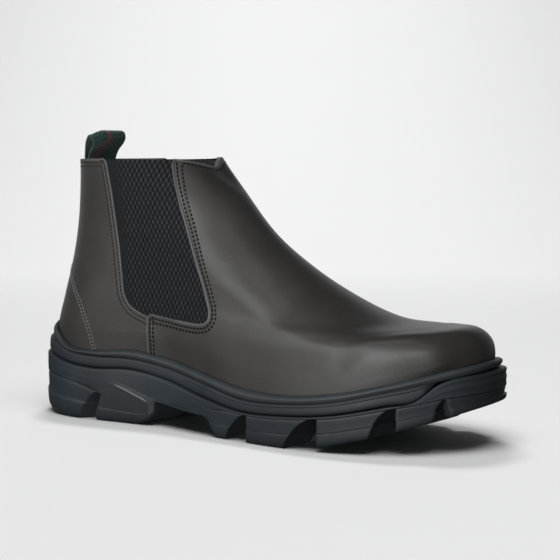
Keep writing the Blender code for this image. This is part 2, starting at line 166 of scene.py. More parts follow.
# Line that parts the side lugs from the wall of the sole above them
LUG_TOPS = table(
    ("x", "z"),
    (-8, 26.0), (10, 25.4), (25.6, 23.8), (40.4, 20.5), (51, 17.2), (61.3, 15.6), (70.8, 14.4),
    (78.2, 13.6), (84.3, 12.9), (88.0, 12.7), (90.0, 13.4), (91.5, 15.2), (94.0, 15.3), (99.0, 14.7),
    (109, 13.5), (121, 12.6), (128, 12.9), (133, 14.2), (138, 15.8), (144, 16.7), (150, 16.8),
    (160, 16.0), (175, 15.9), (190, 16.7), (205, 18.0), (220, 19.7), (235, 22.6), (248, 25.4),
    (256, 27.0), (264, 28.6), (272, 30.4), (280, 31.6), (293, 33.0),
)

# Raised edge of the heel lug: its line, and how far the wall above it is set back
HEEL_SWOOSH = table(
    ("x", "z", "recess"),
    (56, 24.8, 0.0), (61, 23.3, 0.25), (65, 22.6, 0.6), (69, 21.3, 1.0), (73.3, 19.8, 1.3),
    (78.4, 17.9, 1.5), (84.3, 15.8, 1.6), (88, 14.5, 1.6), (92, 15.9, 1.6), (102, 15.2, 1.1),
    (120, 13.6, 0.0),
)
HIGHLIGHT_FROM_X = 61.5  # stretch of that edge that carries a painted highlight, drawn as a pale bead
HIGHLIGHT_TO_X = 89.0
HIGHLIGHT_RADIUS = 0.65
HIGHLIGHT_TIP = 0.1  # share of that radius at its ends, and the share of its length over which they taper
HIGHLIGHT_TAPER = 0.2
HIGHLIGHT_SINK = 0.1  # how far its middle lies inside the wall
NOSE_TURN = (87.8, 3.2)  # where the face of the heel lug turns in to the arch, and over what length

# Border of the front panel on each side, as seen from the side: up the side seam, round the gore's floor
# and up its front edge
FRONT_BORDER = table(
    ("x", "z"),
    (84.4, 36.0), (84.4, 50.0), (84.5, 62.0), (85.0, 65.4), (87.2, 66.6), (91.9, 66.0), (101.0, 64.9),
    (110.3, 63.6), (119.7, 62.9), (124.4, 62.9), (128.6, 63.9), (131.2, 66.6), (131.0, 71.6),
    (128.6, 77.8), (124.1, 89.2), (119.2, 100.7), (116.8, 106.4), (112.1, 118.0), (107.4, 129.6),
    (103.1, 141.4), (99.0, 153.1), (97.9, 157.2), (98.6, 159.4), (100.8, 160.2),
)

# Border of the back panel on each side, from under the front panel up the gore's back edge
BACK_BORDER = table(
    ("x", "z"),
    (90.0, 63.4), (84.0, 65.0), (77.0, 67.6), (71.5, 70.6), (68.8, 73.6), (66.8, 77.0), (64.3, 90.0),
    (62.6, 107.0), (60.6, 124.0), (57.7, 144.0), (55.2, 154.6), (54.2, 157.9), (52.2, 159.5),
)

# Heel counter's seam, from the back of the ankle down to the rim
COUNTER_SEAM = table(
    ("x", "z"),
    (8.2, 94.2), (9.4, 93.6), (12.0, 91.8), (16.0, 88.6), (21.0, 84.0), (26.0, 78.6), (32.0, 72.0),
    (36.6, 63.4), (39.6, 57.0), (43.4, 43.0),
)

# Dip of the collar at its front, by the distance from the middle
COLLAR_DIP = table(
    ("y", "drop"),
    (-40, 0.0), (-30, 0.5), (-23.6, 1.0), (-18.3, 1.7), (-12.7, 3.1), (-8, 4.2), (-4.8, 4.9), (0, 5.3),
    (3, 4.7), (6, 3.0), (9, 1.3), (12, 0.2), (16, -0.3), (24, 0.0), (40, 0.0),
)
DIP_FROM_LEVEL = 0.86  # the dip fades in from this level up
DIP_SHARES = (0.5, 0.2)  # and over this stretch towards the front: its start and length

# Soft creases of the leather where the foot bends, and ridges where it is stretched over the toe: depth
# (below 0 for a ridge), half width and the line each one follows
CREASES = (
    (-0.9, 8.0, ((223.4, -44.1, 54.7), (236.1, -39.2, 59.4), (250.7, -32.3, 61.8), (265.0, -19.0, 64.8))),
    (-0.9, 8.0, ((222.0, 50.0, 55.0), (238.0, 47.0, 59.0), (254.0, 40.0, 61.8), (267.0, 29.0, 64.8))),
    (-1.4, 10.0, ((265.5, -22.5, 64.0), (268.5, -24.8, 58.0), (270.5, -25.0, 51.0), (272.5, -23.0, 43.0))),
    (-1.4, 10.0, ((267.5, 32.5, 64.0), (270.5, 34.0, 58.0), (272.5, 34.2, 51.0), (274.5, 32.0, 43.0))),
    (0.6, 6.0, ((224.1, -34.8, 64.1), (223.9, -42.7, 57.8), (221.1, -45.4, 50.3), (217.4, -46.6, 40.2))),
    (0.2, 8.0, ((203.6, -38.4, 65.4), (199.5, -44.6, 58.0), (195.6, -46.6, 49.0), (193.5, -47.4, 41.2))),
    (0.5, 8.0, ((182.7, -19.3, 87.3), (182.0, -29.5, 80.1), (179.3, -37.3, 71.6), (176.0, -41.7, 62.8))),
    (0.45, 7.0, ((148.2, -6.2, 117.9), (146.1, -16.4, 113.6), (142.4, -23.7, 108.6), (138.2, -28, 104.6))),
    (0.8, 8.0, ((222.0, 40.0, 64.0), (219.0, 49.0, 56.0), (216.0, 51.0, 47.0), (214.0, 52.0, 40.0))),
    (0.5, 9.0, ((184.0, 20.0, 87.0), (181.0, 31.0, 78.0), (178.0, 37.0, 68.0), (176.0, 39.0, 58.0))),
    (0.5, 8.0, ((147.0, 10.0, 117.0), (142.0, 23.0, 109.0), (136.0, 29.0, 102.0))),
)

# Fineness of the meshes
UPPER_LEVELS = 130
UPPER_STATIONS = 150
LINING_LEVELS = 60
LINING_STATIONS = 70
GORE_GRID = (150, 190)
LOOP_GRID = (130, 57)
INSOLE_STATIONS = 120
RIM_LEVELS = 40
RIM_STATIONS = 200
RIM_ROWS = 11
SOLE_STATIONS = 300
CORE_STATIONS = 260
TREAD_SAMPLES = 800
END_LUG_COLUMNS = 201
HIGHLIGHT_POINTS = 90
BORDER_POINTS = 260
COLLAR_POINTS = 120
CREASE_POINTS = 40
CURVE_FINENESS = 20  # points worked out on a curve for each one kept
LEVEL_HALVINGS = 30  # rounds in which a point's level on the upper is found
LUG_ROUNDS = 12  # rounds in which the rows of a lug settle


def spline(knots, values, at):
    """Cubic through the knots, with each knot's slope taken from its neighbours."""
    at = np.asarray(at, float)
    slope = np.gradient(values, knots)
    i = np.clip(np.searchsorted(knots, at) - 1, 0, len(knots) - 2)
    width = knots[i + 1] - knots[i]
    t = np.clip((at - knots[i]) / width, 0.0, 1.0)
    rise = (1 + 2 * t) * (1 - t) ** 2 * values[i] + t * t * (3 - 2 * t) * values[i + 1]
    lean = t * (1 - t) ** 2 * slope[i] + t * t * (t - 1) * slope[i + 1]
    return rise + width * lean


def round_end(t, power):
    """Quarter of a superellipse: 0 at the tip, 1 where the rounding ends."""
    return (1 - (1 - np.clip(t, 0, 1)) ** power) ** (1 / power)


def ease(t):
    """Soft step from 0 to 1."""
    t = np.clip(t, 0, 1)
    return t * t * (3 - 2 * t)


def ease_over(x, stretch):
    """Soft step along x over a stretch given as its start and length, below 0 where it runs back."""
    start, length = stretch
    return ease((x - start) / length)


def end_dense(count):
    """Shares from 0 to 1 that crowd towards both ends."""
    return (1 - np.cos(np.linspace(0, np.pi, count))) / 2


def unit(vectors):
    return vectors / np.linalg.norm(vectors, axis=-1, keepdims=True)


def middle_y(x):
    """The curved middle line, which swings to the medial side at the toe."""
    t = np.clip((np.asarray(x, float) - SWING_FROM_X) / (SOLE_TOE_X - SWING_FROM_X), 0, None)
    return TOE_SWING * t**2


def plan_half(x, side):
    """Half width of the sole's plan, where side is -1 (lateral) or 1 (medial) at each x."""
    lateral = spline(SOLE_PLAN["x"], SOLE_PLAN["lateral"], x)
    medial = spline(SOLE_PLAN["x"], SOLE_PLAN["medial"], x)
    return np.where(np.asarray(side) < 0, lateral, medial)


def sole_wall(x, side, z, grow):
    """Points on the sole's wall. x is where each would lie on the plain outline, grow swells it."""
    share = (np.asarray(x, float) - SOLE_HEEL_X) / SOLE_LENGTH
    half = plan_half(x, side) + grow
    ends = round_end(share * SOLE_LENGTH / HEEL_ROUND, HEEL_POWER)
    ends = ends * round_end((1 - share) * SOLE_LENGTH / TOE_ROUND, TOE_POWER)
    moved = SOLE_HEEL_X - grow + (SOLE_LENGTH + 2 * grow) * share
    y = middle_y(moved) + side * half * ends
    return np.stack(np.broadcast_arrays(moved, y, z), -1)


def sole_line(name, x):
    return spline(SOLE_LINES["x"], SOLE_LINES[name], np.clip(x, SOLE_HEEL_X, SOLE_TOE_X))


def tread_z(x):
    return np.interp(x, TREAD["x"], TREAD["z"])


def lug_top_z(x):
    return spline(LUG_TOPS["x"], LUG_TOPS["z"], x)


def round_trip(shares):
    """Plain x and side of a closed trip round the sole: to the toe on the lateral side, then back."""
    x = SOLE_HEEL_X + SOLE_LENGTH * shares
    side = np.concatenate([np.full(len(x), LATERAL), np.full(len(x) - 2, MEDIAL)])
    return np.concatenate([x, x[-2:0:-1]]), side


def upper_at(level, around):
    """Points on the outside of the upper. Level is 0 at the lasted edge and 1 at the collar; around is 0
    at the heel, 1 at the toe by the lateral side and 2 at the heel again by the medial side."""
    level, around = np.broadcast_arrays(np.asarray(level, float), np.asarray(around, float) % 2)
    ring = {name: spline(LEVEL_KNOTS, values, level) for name, values in UPPER_RINGS.items()}
    side = np.where(around < 1, LATERAL, MEDIAL)
    share = np.where(around < 1, around, 2 - around)
    length = ring["front_x"] - ring["back_x"]
    x = ring["back_x"] + length * share
    ends = round_end(length * share / ring["heel"], ring["heel_power"])
    ends = ends * round_end(length * (1 - share) / ring["nose"], ring["nose_power"])
    foot = plan_half(x, side) - LASTED_INSET
    half = foot + ring["shaft"] * (SHAFT_HALF_WIDTH - foot) + ring["grow"]
    y = middle_y(x) * (1 - ring["shaft"]) + side * half * ends
    chord = ring["back_z"] + (ring["front_z"] - ring["back_z"]) * share
    lasted_back = UPPER_RINGS["back_z"][0]
    lasted_chord = lasted_back + (UPPER_RINGS["front_z"][0] - lasted_back) * share
    dip = sole_line("seat", x) + GAP - lasted_chord
    z = chord + ring["bow"] * dip
    front = ease((level - DIP_FROM_LEVEL) / (1 - DIP_FROM_LEVEL)) * ease_over(share, DIP_SHARES)
    z = z - front * spline(COLLAR_DIP["y"], COLLAR_DIP["drop"], y)
    return np.stack([x, y, z], -1)


def upper_normal(level, around):
    """Outward directions of the upper's form."""
    step = 0.002
    up = upper_at(level + step, around) - upper_at(level - step, around)
    along = upper_at(level, around + step) - upper_at(level, around - step)
    return unit(np.cross(along, up))


def find_level(x, z):
    """Level and share of the points on the side of the upper at x and z."""
    low = np.zeros(len(x))
    high = np.ones(len(x))
    for _ in range(LEVEL_HALVINGS):
        level = (low + high) / 2
        front = spline(LEVEL_KNOTS, UPPER_RINGS["front_x"], level)
        back = spline(LEVEL_KNOTS, UPPER_RINGS["back_x"], level)
        share = np.clip((x - back) / (front - back), 0, 1)
        below = upper_at(level, share)[:, 2] < z
        low = np.where(below, level, low)
        high = np.where(below, high, level)
    return level, share


def crease_depth(points):
    """How far the creases sink the leather at points on the upper."""
    depth = np.zeros(len(points))
    for deepest, width, line in CREASES:
        line = smooth_path(line, CREASE_POINTS)
        away = np.linalg.norm(points[:, None] - line[None], axis=2)
        ends = end_fade(away.argmin(axis=1) / (len(line) - 1))
        depth += deepest * ends * np.exp(-((away.min(axis=1) / width) ** 2))
    return depth


def end_fade(share, length=0.3):
    """1 along the middle of a line, falling to 0 over a length at both of its ends."""
    return ease(share / length) * ease((1 - share) / length)


def run_along(path):
    """Way along a path to each of its points."""
    return np.concatenate([[0], np.cumsum(np.linalg.norm(np.diff(path, axis=0), axis=1))])


def smooth_path(points, count):
    """Evenly spaced points on a smooth curve through the given ones."""
    points = np.asarray(points, float)
    knots = run_along(points)
    fine = np.linspace(0, knots[-1], CURVE_FINENESS * count)
    curve = np.stack([spline(knots, column, fine) for column in points.T], -1)
    return even_path(curve, count)


def drawn(line, count=BORDER_POINTS):
    """Even points along a line drawn as a table of x and z."""
    return smooth_path(np.stack([line["x"], line["z"]], -1), count)


def even_path(curve, count, carried=None):
    """Points an equal way apart on a polyline, or the numbers that it carries there."""
    run = run_along(curve)
    at = np.linspace(0, run[-1], count)
    columns = (curve if carried is None else carried).T
    return np.stack([np.interp(at, run, column) for column in columns], -1)


def offset_path(path, distance):
    """A path in x and z moved sideways, to the right of its own direction."""
    along = unit(np.gradient(path, axis=0))
    return path + distance * np.stack([along[:, 1], -along[:, 0]], -1)


def on_upper(path, side, lift=0.0):
    """A path in x and z laid on one side of the upper, with the outward direction at each point."""
    level, share = find_level(path[:, 0], path[:, 1])
    around = share if side < 0 else 2 - share
    normal = upper_normal(level, around)
    return upper_at(level, around) + lift * normal, normal


# Joined meshes


def link(name, data):
    """New object of some data, in the scene."""
    obj = bpy.data.objects.new(name, data)
    bpy.context.scene.collection.objects.link(obj)
    return obj


class Mesh:
    """Points and faces of one piece, gathered from several solids."""

    def __init__(self, *solid):
        self.points = []
        self.faces = []
        self.count = 0
        if solid:
            self.add(*solid)

    def add(self, points, faces):
        points = np.asarray(points).reshape(-1, 3)
        self.faces += [tuple(int(v) + self.count for v in face) for face in faces]
        self.points.append(points)
        self.count += len(points)

    def piece(self, name, material, sharp=40.0, stands_for=(), values=None):
        """Object of the gathered solids that rides on the boot. values are numbers by point, by name."""
        points = (np.concatenate(self.points) - ORIGIN) * MM
        mesh = bpy.data.meshes.new(name)
        mesh.from_pydata(points.tolist(), [], self.faces)
        shape = bmesh.new()
        shape.from_mesh(mesh)
        bmesh.ops.recalc_face_normals(shape, faces=shape.faces)
        shape.to_mesh(mesh)
        shape.free()
        for label, numbers in (values or {}).items():
            layer = mesh.attributes.new(label, "FLOAT", "POINT")
            layer.data.foreach_set("value", np.asarray(numbers, np.float32).ravel())
        mesh.shade_smooth()
        mesh.set_sharp_from_angle(angle=np.radians(sharp))
        mesh.materials.append(material)
        obj = link(name, mesh)
        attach(obj, BODY)
        if stands_for:
            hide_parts(*stands_for)
        return obj


def wall_faces(first, second, count):
    """Quads between two closed loops of points, given where each loop starts."""
    steps = [(i, (i + 1) % count) for i in range(count)]
    return [(first + i, first + j, second + j, second + i) for i, j in steps]


def tube_faces(rings, count, caps=True):
    """Faces of a tube of closed rings, with a face over each end."""
    faces = []
    for i in range(rings - 1):
        faces += wall_faces(i * count, (i + 1) * count, count)
    if caps:
        last = (rings - 1) * count
        faces += [tuple(range(count)), tuple(range(last, last + count))]
    return faces


def ladder_faces(start, count):
    """Faces that close a loop round the sole, rung by rung from the heel to the toe."""
    half = count // 2
    faces = [(start, start + 1, start + count - 1)]
    for i in range(1, half - 1):
        faces.append((start + i, start + i + 1, start + count - i - 1, start + count - i))
    faces.append((start + half - 1, start + half, start + half + 1))
    return faces


def closed_stack(loops):
    """Solid through a stack of loops round the sole, closed rung by rung at both ends."""
    count = len(loops[0])
    faces = tube_faces(len(loops), count, caps=False)
    faces += ladder_faces(0, count) + ladder_faces((len(loops) - 1) * count, count)
    return np.concatenate(loops), faces


def closed_ring(loops):
    """Solid ring through loops that join the last to the first."""
    count = len(loops[0])
    faces = tube_faces(len(loops), count, caps=False)
    return np.concatenate(loops), faces + wall_faces((len(loops) - 1) * count, 0, count)


def grid_faces(rows, columns, closed=False):
    """Quads of a grid, joined round if it is closed."""
    index = np.arange(rows * columns).reshape(rows, columns)
    right = np.roll(index, -1, axis=1)
    if not closed:
        index, right = index[:, :-1], right[:, :-1]
    cells = np.stack([index[:-1], right[:-1], right[1:], index[1:]], -1)
    return cells.reshape(-1, 4)


def thicken(points, normals, faces, depth):
    """Closed sheet: the faces, a copy of them set in by depth, and walls along every open border."""
    count = len(points)
    seen = {}
    for face in faces:
        for i, j in zip(face, (*face[1:], face[0])):
            key = (min(i, j), max(i, j))
            seen[key] = None if key in seen else (i, j)
    walls = [(j, i, i + count, j + count) for i, j in filter(None, seen.values())]
    inner = [tuple(v + count for v in reversed(face)) for face in faces]
    return np.concatenate([points, points - depth * normals]), [*map(tuple, faces), *inner, *walls]


def cut_grid(arrays, keep):
    """The part of a closed grid where keep is above 0, cut cleanly along 0. Returns arrays and faces."""
    flat = keep.ravel()
    cells = grid_faces(*keep.shape, closed=True)
    inside = flat[cells] > 0
    faces = cells[inside.all(1)].tolist()
    cuts = {}
    for cell in cells[inside.any(1) & ~inside.all(1)].tolist():
        corners = []
        for i, j in zip(cell, (*cell[1:], cell[0])):
            if flat[i] > 0:
                corners.append(i)
            if (flat[i] > 0) != (flat[j] > 0):
                key = (min(i, j), max(i, j))
                corners.append(cuts.setdefault(key, len(flat) + len(cuts)))
        faces.append(corners)
    ends = np.array(list(cuts))
    share = (flat[ends[:, 0]] / (flat[ends[:, 0]] - flat[ends[:, 1]]))[:, None]
    used = np.unique(np.concatenate([np.ravel(face) for face in faces]))
    renumber = np.zeros(len(flat) + len(cuts), int)
    renumber[used] = np.arange(len(used))
    found = []
    for array in arrays:
        array = array.reshape(len(flat), -1)
        between = array[ends[:, 0]] * (1 - share) + array[ends[:, 1]] * share
        found.append(np.concatenate([array, between])[used])
    return found, [renumber[face].tolist() for face in faces]


def sweep(path, normal, section):
    """Tube of a closed section along a path on a surface, or of a section for each of its points. Section
    pairs are across, to the right of the path's direction as seen from outside, and up from the surface."""
    along = unit(np.gradient(path, axis=0))
    across = unit(np.cross(along, normal))
    section = np.asarray(section, float)
    points = path[:, None] + section[..., :1] * across[:, None] + section[..., 1:] * normal[:, None]
    return points.reshape(-1, 3), tube_faces(len(path), section.shape[-2])


def distance_inside(outline, points):
    """Distance in from a closed outline in x and z: above 0 inside it, below 0 outside."""
    start = outline
    step = np.roll(outline, -1, axis=0) - start
    nearest = np.full(len(points), np.inf)
    inside = np.zeros(len(points), bool)
    x, z = points[:, 0], points[:, 1]
    for (sx, sz), (dx, dz) in zip(start, step):
        t = np.clip(((x - sx) * dx + (z - sz) * dz) / max(dx * dx + dz * dz, 1e-12), 0, 1)
        nearest = np.minimum(nearest, np.hypot(x - sx - t * dx, z - sz - t * dz))
        crosses = (sz > z) != (sz + dz > z)
        inside ^= crosses & (x < sx + (z - sz) / (dz or 1) * dx)
    return np.where(inside, nearest, -nearest)


# Materials


def principled(name, colour, roughness, **sockets):
    """Material with its constant numbers set on the shader's own sockets."""
    material = bpy.data.materials.new(name)
    material.use_nodes = True
    shader = material.node_tree.nodes["Principled BSDF"]
    shader.inputs["Base Color"].default_value = (*colour, 1)
    shader.inputs["Roughness"].default_value = roughness
    for socket, value in sockets.items():
        shader.inputs[socket.replace("_", " ")].default_value = value
    return material


def node(material, kind, inputs=None, **settings):
    """Adds a node. Inputs are plain values or the outputs of other nodes, by name or number."""
    made = material.node_tree.nodes.new(kind)
    for name, value in settings.items():
        setattr(made, name, value)
    for name, value in (inputs or {}).items():
        if isinstance(value, bpy.types.NodeSocket):
            material.node_tree.links.new(value, made.inputs[name])
        else:
            made.inputs[name].default_value = value
    return made


def feed(material, socket, output):
    shader = material.node_tree.nodes["Principled BSDF"]
    material.node_tree.links.new(output, shader.inputs[socket])


def ramp(material, factor, *stops):
    """Colour ramp with (position, colour) stops."""
    made = node(material, "ShaderNodeValToRGB", {"Fac": factor})
    elements = made.color_ramp.elements
    while len(elements) < len(stops):
        elements.new(0.5)
    for element, (position, colour) in zip(elements, stops):
        element.position = position
        element.color = (*colour, 1)
    return made.outputs["Color"]


def math(material, operation, *values):
    return node(material, "ShaderNodeMath", dict(enumerate(values)), operation=operation).outputs[0]


def place_of(material):
    """The boot's own coordinates, in metres."""
    return node(material, "ShaderNodeTexCoord").outputs["Object"]


def noise(material, scale, detail=3.0, roughness=0.5):
    inputs = {"Vector": place_of(material), "Scale": scale, "Detail": detail, "Roughness": roughness}
    return node(material, "ShaderNodeTexNoise", inputs).outputs["Fac"]


def bump(material, height, strength, distance):
    inputs = {"Height": height, "Strength": strength, "Distance": distance}
    feed(material, "Normal", node(material, "ShaderNodeBump", inputs).outputs["Normal"])


def make_leather(name, dark, light, roughness):
    """Smooth dyed leather: fine pebbled grain, cloudy dye and a thin waxy coat."""
    middle = tuple((a + b) / 2 for a, b in zip(dark, light))
    leather = principled(name, middle, roughness, Coat_Weight=0.25, Coat_Roughness=0.28)
    cloud = noise(leather, 28.0, 4.0, 0.55)
    feed(leather, "Base Color", ramp(leather, cloud, (0.3, dark), (0.7, light)))
    patches = noise(leather, 60.0, 3.0)
    inputs = {"Value": patches, "To Min": roughness - 0.05, "To Max": roughness + 0.07}
    gloss = node(leather, "ShaderNodeMapRange", inputs)
    feed(leather, "Roughness", gloss.outputs["Result"])
    inputs = {"Vector": place_of(leather), "Scale": 1100.0, "Randomness": 1.0}
    pebbles = node(leather, "ShaderNodeTexVoronoi", inputs, feature="SMOOTH_F1")
    grain = math(leather, "ADD", pebbles.outputs["Distance"], noise(leather, 420.0, 5.0, 0.6))
    bump(leather, grain, 0.12, 0.0004)
    return leather


def make_rubber(name, dark, light):
    """Moulded rubber: blue-black, matt, with a faint cloudy bloom and a fine mould texture."""
    rubber = principled(name, light, 0.5, Specular_IOR_Level=0.4)
    bloom = noise(rubber, 35.0, 5.0, 0.6)
    feed(rubber, "Base Color", ramp(rubber, bloom, (0.3, dark), (0.75, light)))
    wear = noise(rubber, 90.0, 4.0)
    gloss = node(rubber, "ShaderNodeMapRange", {"Value": wear, "To Min": 0.46, "To Max": 0.62})
    feed(rubber, "Roughness", gloss.outputs["Result"])
    bump(rubber, noise(rubber, 900.0, 4.0, 0.6), 0.1, 0.0003)
    return rubber


def make_elastic():
    """Woven elastic: pale raised strands over a black ground, from the weave's own height."""
    elastic = principled("woven_elastic", (0.013, 0.014, 0.016), 0.8, Specular_IOR_Level=0.15)
    weave = node(elastic, "ShaderNodeAttribute", attribute_name="weave").outputs["Fac"]
    worn = math(elastic, "MULTIPLY_ADD", noise(elastic, 450.0, 2.0), 0.8, 0.6)
    strands = math(elastic, "MULTIPLY", weave, worn)
    shades = ((0.0, (0.002, 0.002, 0.003)), (0.5, (0.010, 0.0107, 0.0125)), (1.0, (0.032, 0.0345, 0.040)))
    feed(elastic, "Base Color", ramp(elastic, strands, *shades))
    bump(elastic, noise(elastic, 2600.0, 2.0), 0.15, 0.0002)
    return elastic


def make_webbing():
    """Herringbone tape in dark green and black, with two thin dark red lines off its middle."""
    webbing = principled("herringbone_webbing", (0.01, 0.04, 0.03), 0.75, Sheen_Weight=0.2)
    across = node(webbing, "ShaderNodeAttribute", attribute_name="across").outputs["Fac"]
    along = node(webbing, "ShaderNodeAttribute", attribute_name="along").outputs["Fac"]
    zigzag = math(webbing, "PINGPONG", across, 4.7)
    twill = math(webbing, "SINE", math(webbing, "MULTIPLY", math(webbing, "ADD", along, zigzag), 2.2))
    green, black = (0.010, 0.070, 0.048), (0.003, 0.005, 0.005)
    cloth = ramp(webbing, math(webbing, "MULTIPLY_ADD", twill, 0.5, 0.5), (0.3, black), (0.7, green))
    lines = []
    for place, half in ((-1.5, 0.8), (1.2, 0.4)):
        away = math(webbing, "ABSOLUTE", math(webbing, "SUBTRACT", across, place))
        lines.append(math(webbing, "LESS_THAN", away, half))
    red = math(webbing, "MAXIMUM", *lines)
    inputs = {0: red, 6: cloth, 7: (0.20, 0.013, 0.022, 1)}
    mixed = node(webbing, "ShaderNodeMix", inputs, data_type="RGBA")
    feed(webbing, "Base Color", mixed.outputs[2])
    bump(webbing, twill, 0.5, 0.0002)
    return webbing


def make_lining():
    """Brushed textile lining, with a dark facing inside the collar that paints the shade in its mouth."""
    lining = principled("textile_lining", (0.055, 0.053, 0.051), 0.9, Sheen_Weight=0.1)
    fuzz = noise(lining, 900.0, 4.0, 0.7)
    cloth = ramp(lining, fuzz, (0.3, (0.055, 0.053, 0.051)), (0.7, (0.110, 0.105, 0.100)))
    # dark facing near the top: painted shade inside the collar's mouth
    collar_shade = ramp(lining, fuzz, (0.3, (0.008, 0.008, 0.008)), (0.7, (0.020, 0.019, 0.018)))
    height = node(lining, "ShaderNodeSeparateXYZ", {"Vector": place_of(lining)}).outputs["Z"]
    inputs = {"Value": height, "From Min": SHADE_BAND_FROM, "From Max": SHADE_BAND_FROM + SHADE_BAND_EDGE}
    share = node(lining, "ShaderNodeMapRange", inputs).outputs["Result"]
    both = node(lining, "ShaderNodeMix", {0: share, 6: cloth, 7: collar_shade}, data_type="RGBA")
    feed(lining, "Base Color", both.outputs[2])
    bump(lining, fuzz, 0.3, 0.0004)
    return lining


def make_thread(name, colour):
    thread = principled(name, colour, 0.75, Specular_IOR_Level=0.2)
    twist = noise(thread, 4000.0, 2.0)
    dark = tuple(0.6 * c for c in colour)
    feed(thread, "Base Color", ramp(thread, twist, (0.35, dark), (0.65, colour)))
    bump(thread, twist, 0.3, 0.0001)
    return thread


LEATHER = make_leather("waxed_leather", (0.0255, 0.0238, 0.0228), (0.0350, 0.0330, 0.0318), 0.50)
# paler copy of the leather for the folded edges: partly a burnished edge, partly a painted highlight on the
# rolled lips
EDGE_LEATHER_BURNISH_AND_HIGHLIGHT = make_leather("edge_leather_burnish_and_highlight", (0.056, 0.055, 0.054), (0.078, 0.077, 0.076), 0.58)
RUBBER = make_rubber("moulded_rubber", (0.016, 0.0215, 0.0255), (0.0255, 0.033, 0.039))
# lighter copy of the sole's rubber for the rolled rim: a painted highlight on its bead
RIM_HIGHLIGHT_RUBBER = make_rubber("rim_highlight_rubber", (0.030, 0.037, 0.041), (0.045, 0.054, 0.060))
# pale rubber of the bead that paints the highlight along the heel lug's raised edge
LUG_HIGHLIGHT_RUBBER = make_rubber("lug_highlight_rubber", (0.13, 0.14, 0.145), (0.19, 0.20, 0.205))
ELASTIC = make_elastic()
WEBBING = make_webbing()
LINING = make_lining()
DARK_THREAD = make_thread("dark_thread", (0.005, 0.005, 0.006))
GREY_THREAD = make_thread("grey_thread", (0.014, 0.013, 0.013))
PALE_THREAD = make_thread("pale_thread", (0.210, 0.204, 0.198))


# Upper


def upper_grid(levels, shares):
    """Dense grid of the upper's form and its outward directions."""
    around = np.concatenate([shares, 2 - shares[-2:0:-1]])
    points = upper_at(levels[:, None], around[None])
    along = np.roll(points, -1, axis=1) - np.roll(points, 1, axis=1)
    normals = unit(np.cross(along, np.gradient(points, axis=0)))
    return points, normals


PANEL_TOP = 0.991  # levels at which the leather and the lining end, inside the collar's fold
LINING_TOP = 0.995
PANEL_THICK = 1.9
LINING_THICK = 0.5
LAP = 0.7  # how far the front panel stands over the back one at its border
LAP_FADE = 22.0  # and over what width it settles on the form
FAR_AHEAD, FAR_BEHIND = 400.0, -100.0  # well clear of the boot
FAR_ABOVE, FAR_BELOW = 400.0, -100.0

# Panels: border on the gore's side, way into the leather (1 is to the right of the border) and lap
PANELS = {"front_panel": (FRONT_BORDER, 1, LAP), "back_panel": (BACK_BORDER, -1, 0.0)}


def panel_outline(border, into):
    """Closed outline of a panel in x and z: its border on the gore's side, and far round the other way."""
    path = drawn(border)
    far_x = FAR_AHEAD if into > 0 else FAR_BEHIND
    corners = [(path[-1, 0], FAR_ABOVE), (far_x, FAR_ABOVE), (far_x, FAR_BELOW), (path[0, 0], FAR_BELOW)]
    return np.concatenate([path, corners])


def make_panels():
    """The two leather panels: the front one laps over the back one at the side seam."""
    points, normals = upper_grid(np.linspace(0, PANEL_TOP, UPPER_LEVELS), end_dense(UPPER_STATIONS))
    flat = points.reshape(-1, 3)[:, [0, 2]]
    creased = points - crease_depth(points.reshape(-1, 3)).reshape(*points.shape[:2], 1) * normals
    for name, (border, into, lap) in PANELS.items():
        keep = distance_inside(panel_outline(border, into), flat).reshape(points.shape[:2])
        raised = creased + (lap * (1 - ease(keep / LAP_FADE)))[..., None] * normals
        (cut_points, cut_normals), faces = cut_grid([raised, normals], keep)
        sheet = thicken(cut_points, unit(cut_normals), faces, PANEL_THICK)
        Mesh(*sheet).piece(name, LEATHER, stands_for=("upper",))


def make_lining_sock():
    """Lining that follows the inside of the panels."""
    levels = np.linspace(0.0, LINING_TOP, LINING_LEVELS)
    points, normals = upper_grid(levels, end_dense(LINING_STATIONS))
    faces = [tuple(face) for face in grid_faces(*points.shape[:2], closed=True)]
    inner = (points - LEATHER_WALL * normals).reshape(-1, 3)
    inner -= crease_depth(points.reshape(-1, 3))[:, None] * normals.reshape(-1, 3)
    sheet = thicken(inner, normals.reshape(-1, 3), faces, LINING_THICK)
    Mesh(*sheet).piece("lining_sock", LINING)


# Sections of the folded edge along the gore and round the collar: across into the leather, and up from it
EDGE_FOLD = np.array((
    (-0.3, -1.4), (-0.6, -0.8), (-0.6, -0.1), (-0.35, 0.34), (0.0, 0.46),
    (0.35, 0.32), (0.6, -0.1), (0.6, -0.9), (0.3, -1.4),
))
COLLAR_FOLD = np.array((
    (-0.3, -2.75), (-0.6, -1.7), (-0.55, -0.5), (-0.2, 0.2), (0.3, 0.36),
    (0.8, 0.26), (1.2, -0.1), (1.2, -2.0), (0.6, -2.8),
))
ROLL_STRETCH = (103.0, 6.0)  # the collar's fold grows into a thicker roll here: start and length
ROLL_SWELL = 0.9
# Section of the leather that swells between two rows of stitches
ROW_SWELL = ((-0.7, -0.4), (-0.6, 0.0), (-0.3, 0.1), (0.0, 0.13), (0.3, 0.1), (0.6, 0.0), (0.7, -0.4))
SWELL_OFFSETS = (3.2, 3.1)  # its way from the border of the front and of the back panel
CORNER_LAP = 12.0  # way along the collar from a gore's corner over which the lap fades
CORNER_FOLD = 4.0  # and over which the edge's fold turns into the collar's
COLLAR_TOP = 0.998  # level of the collar's edge
COLLAR_PROBE = 0.04  # levels over which the way down from it is measured


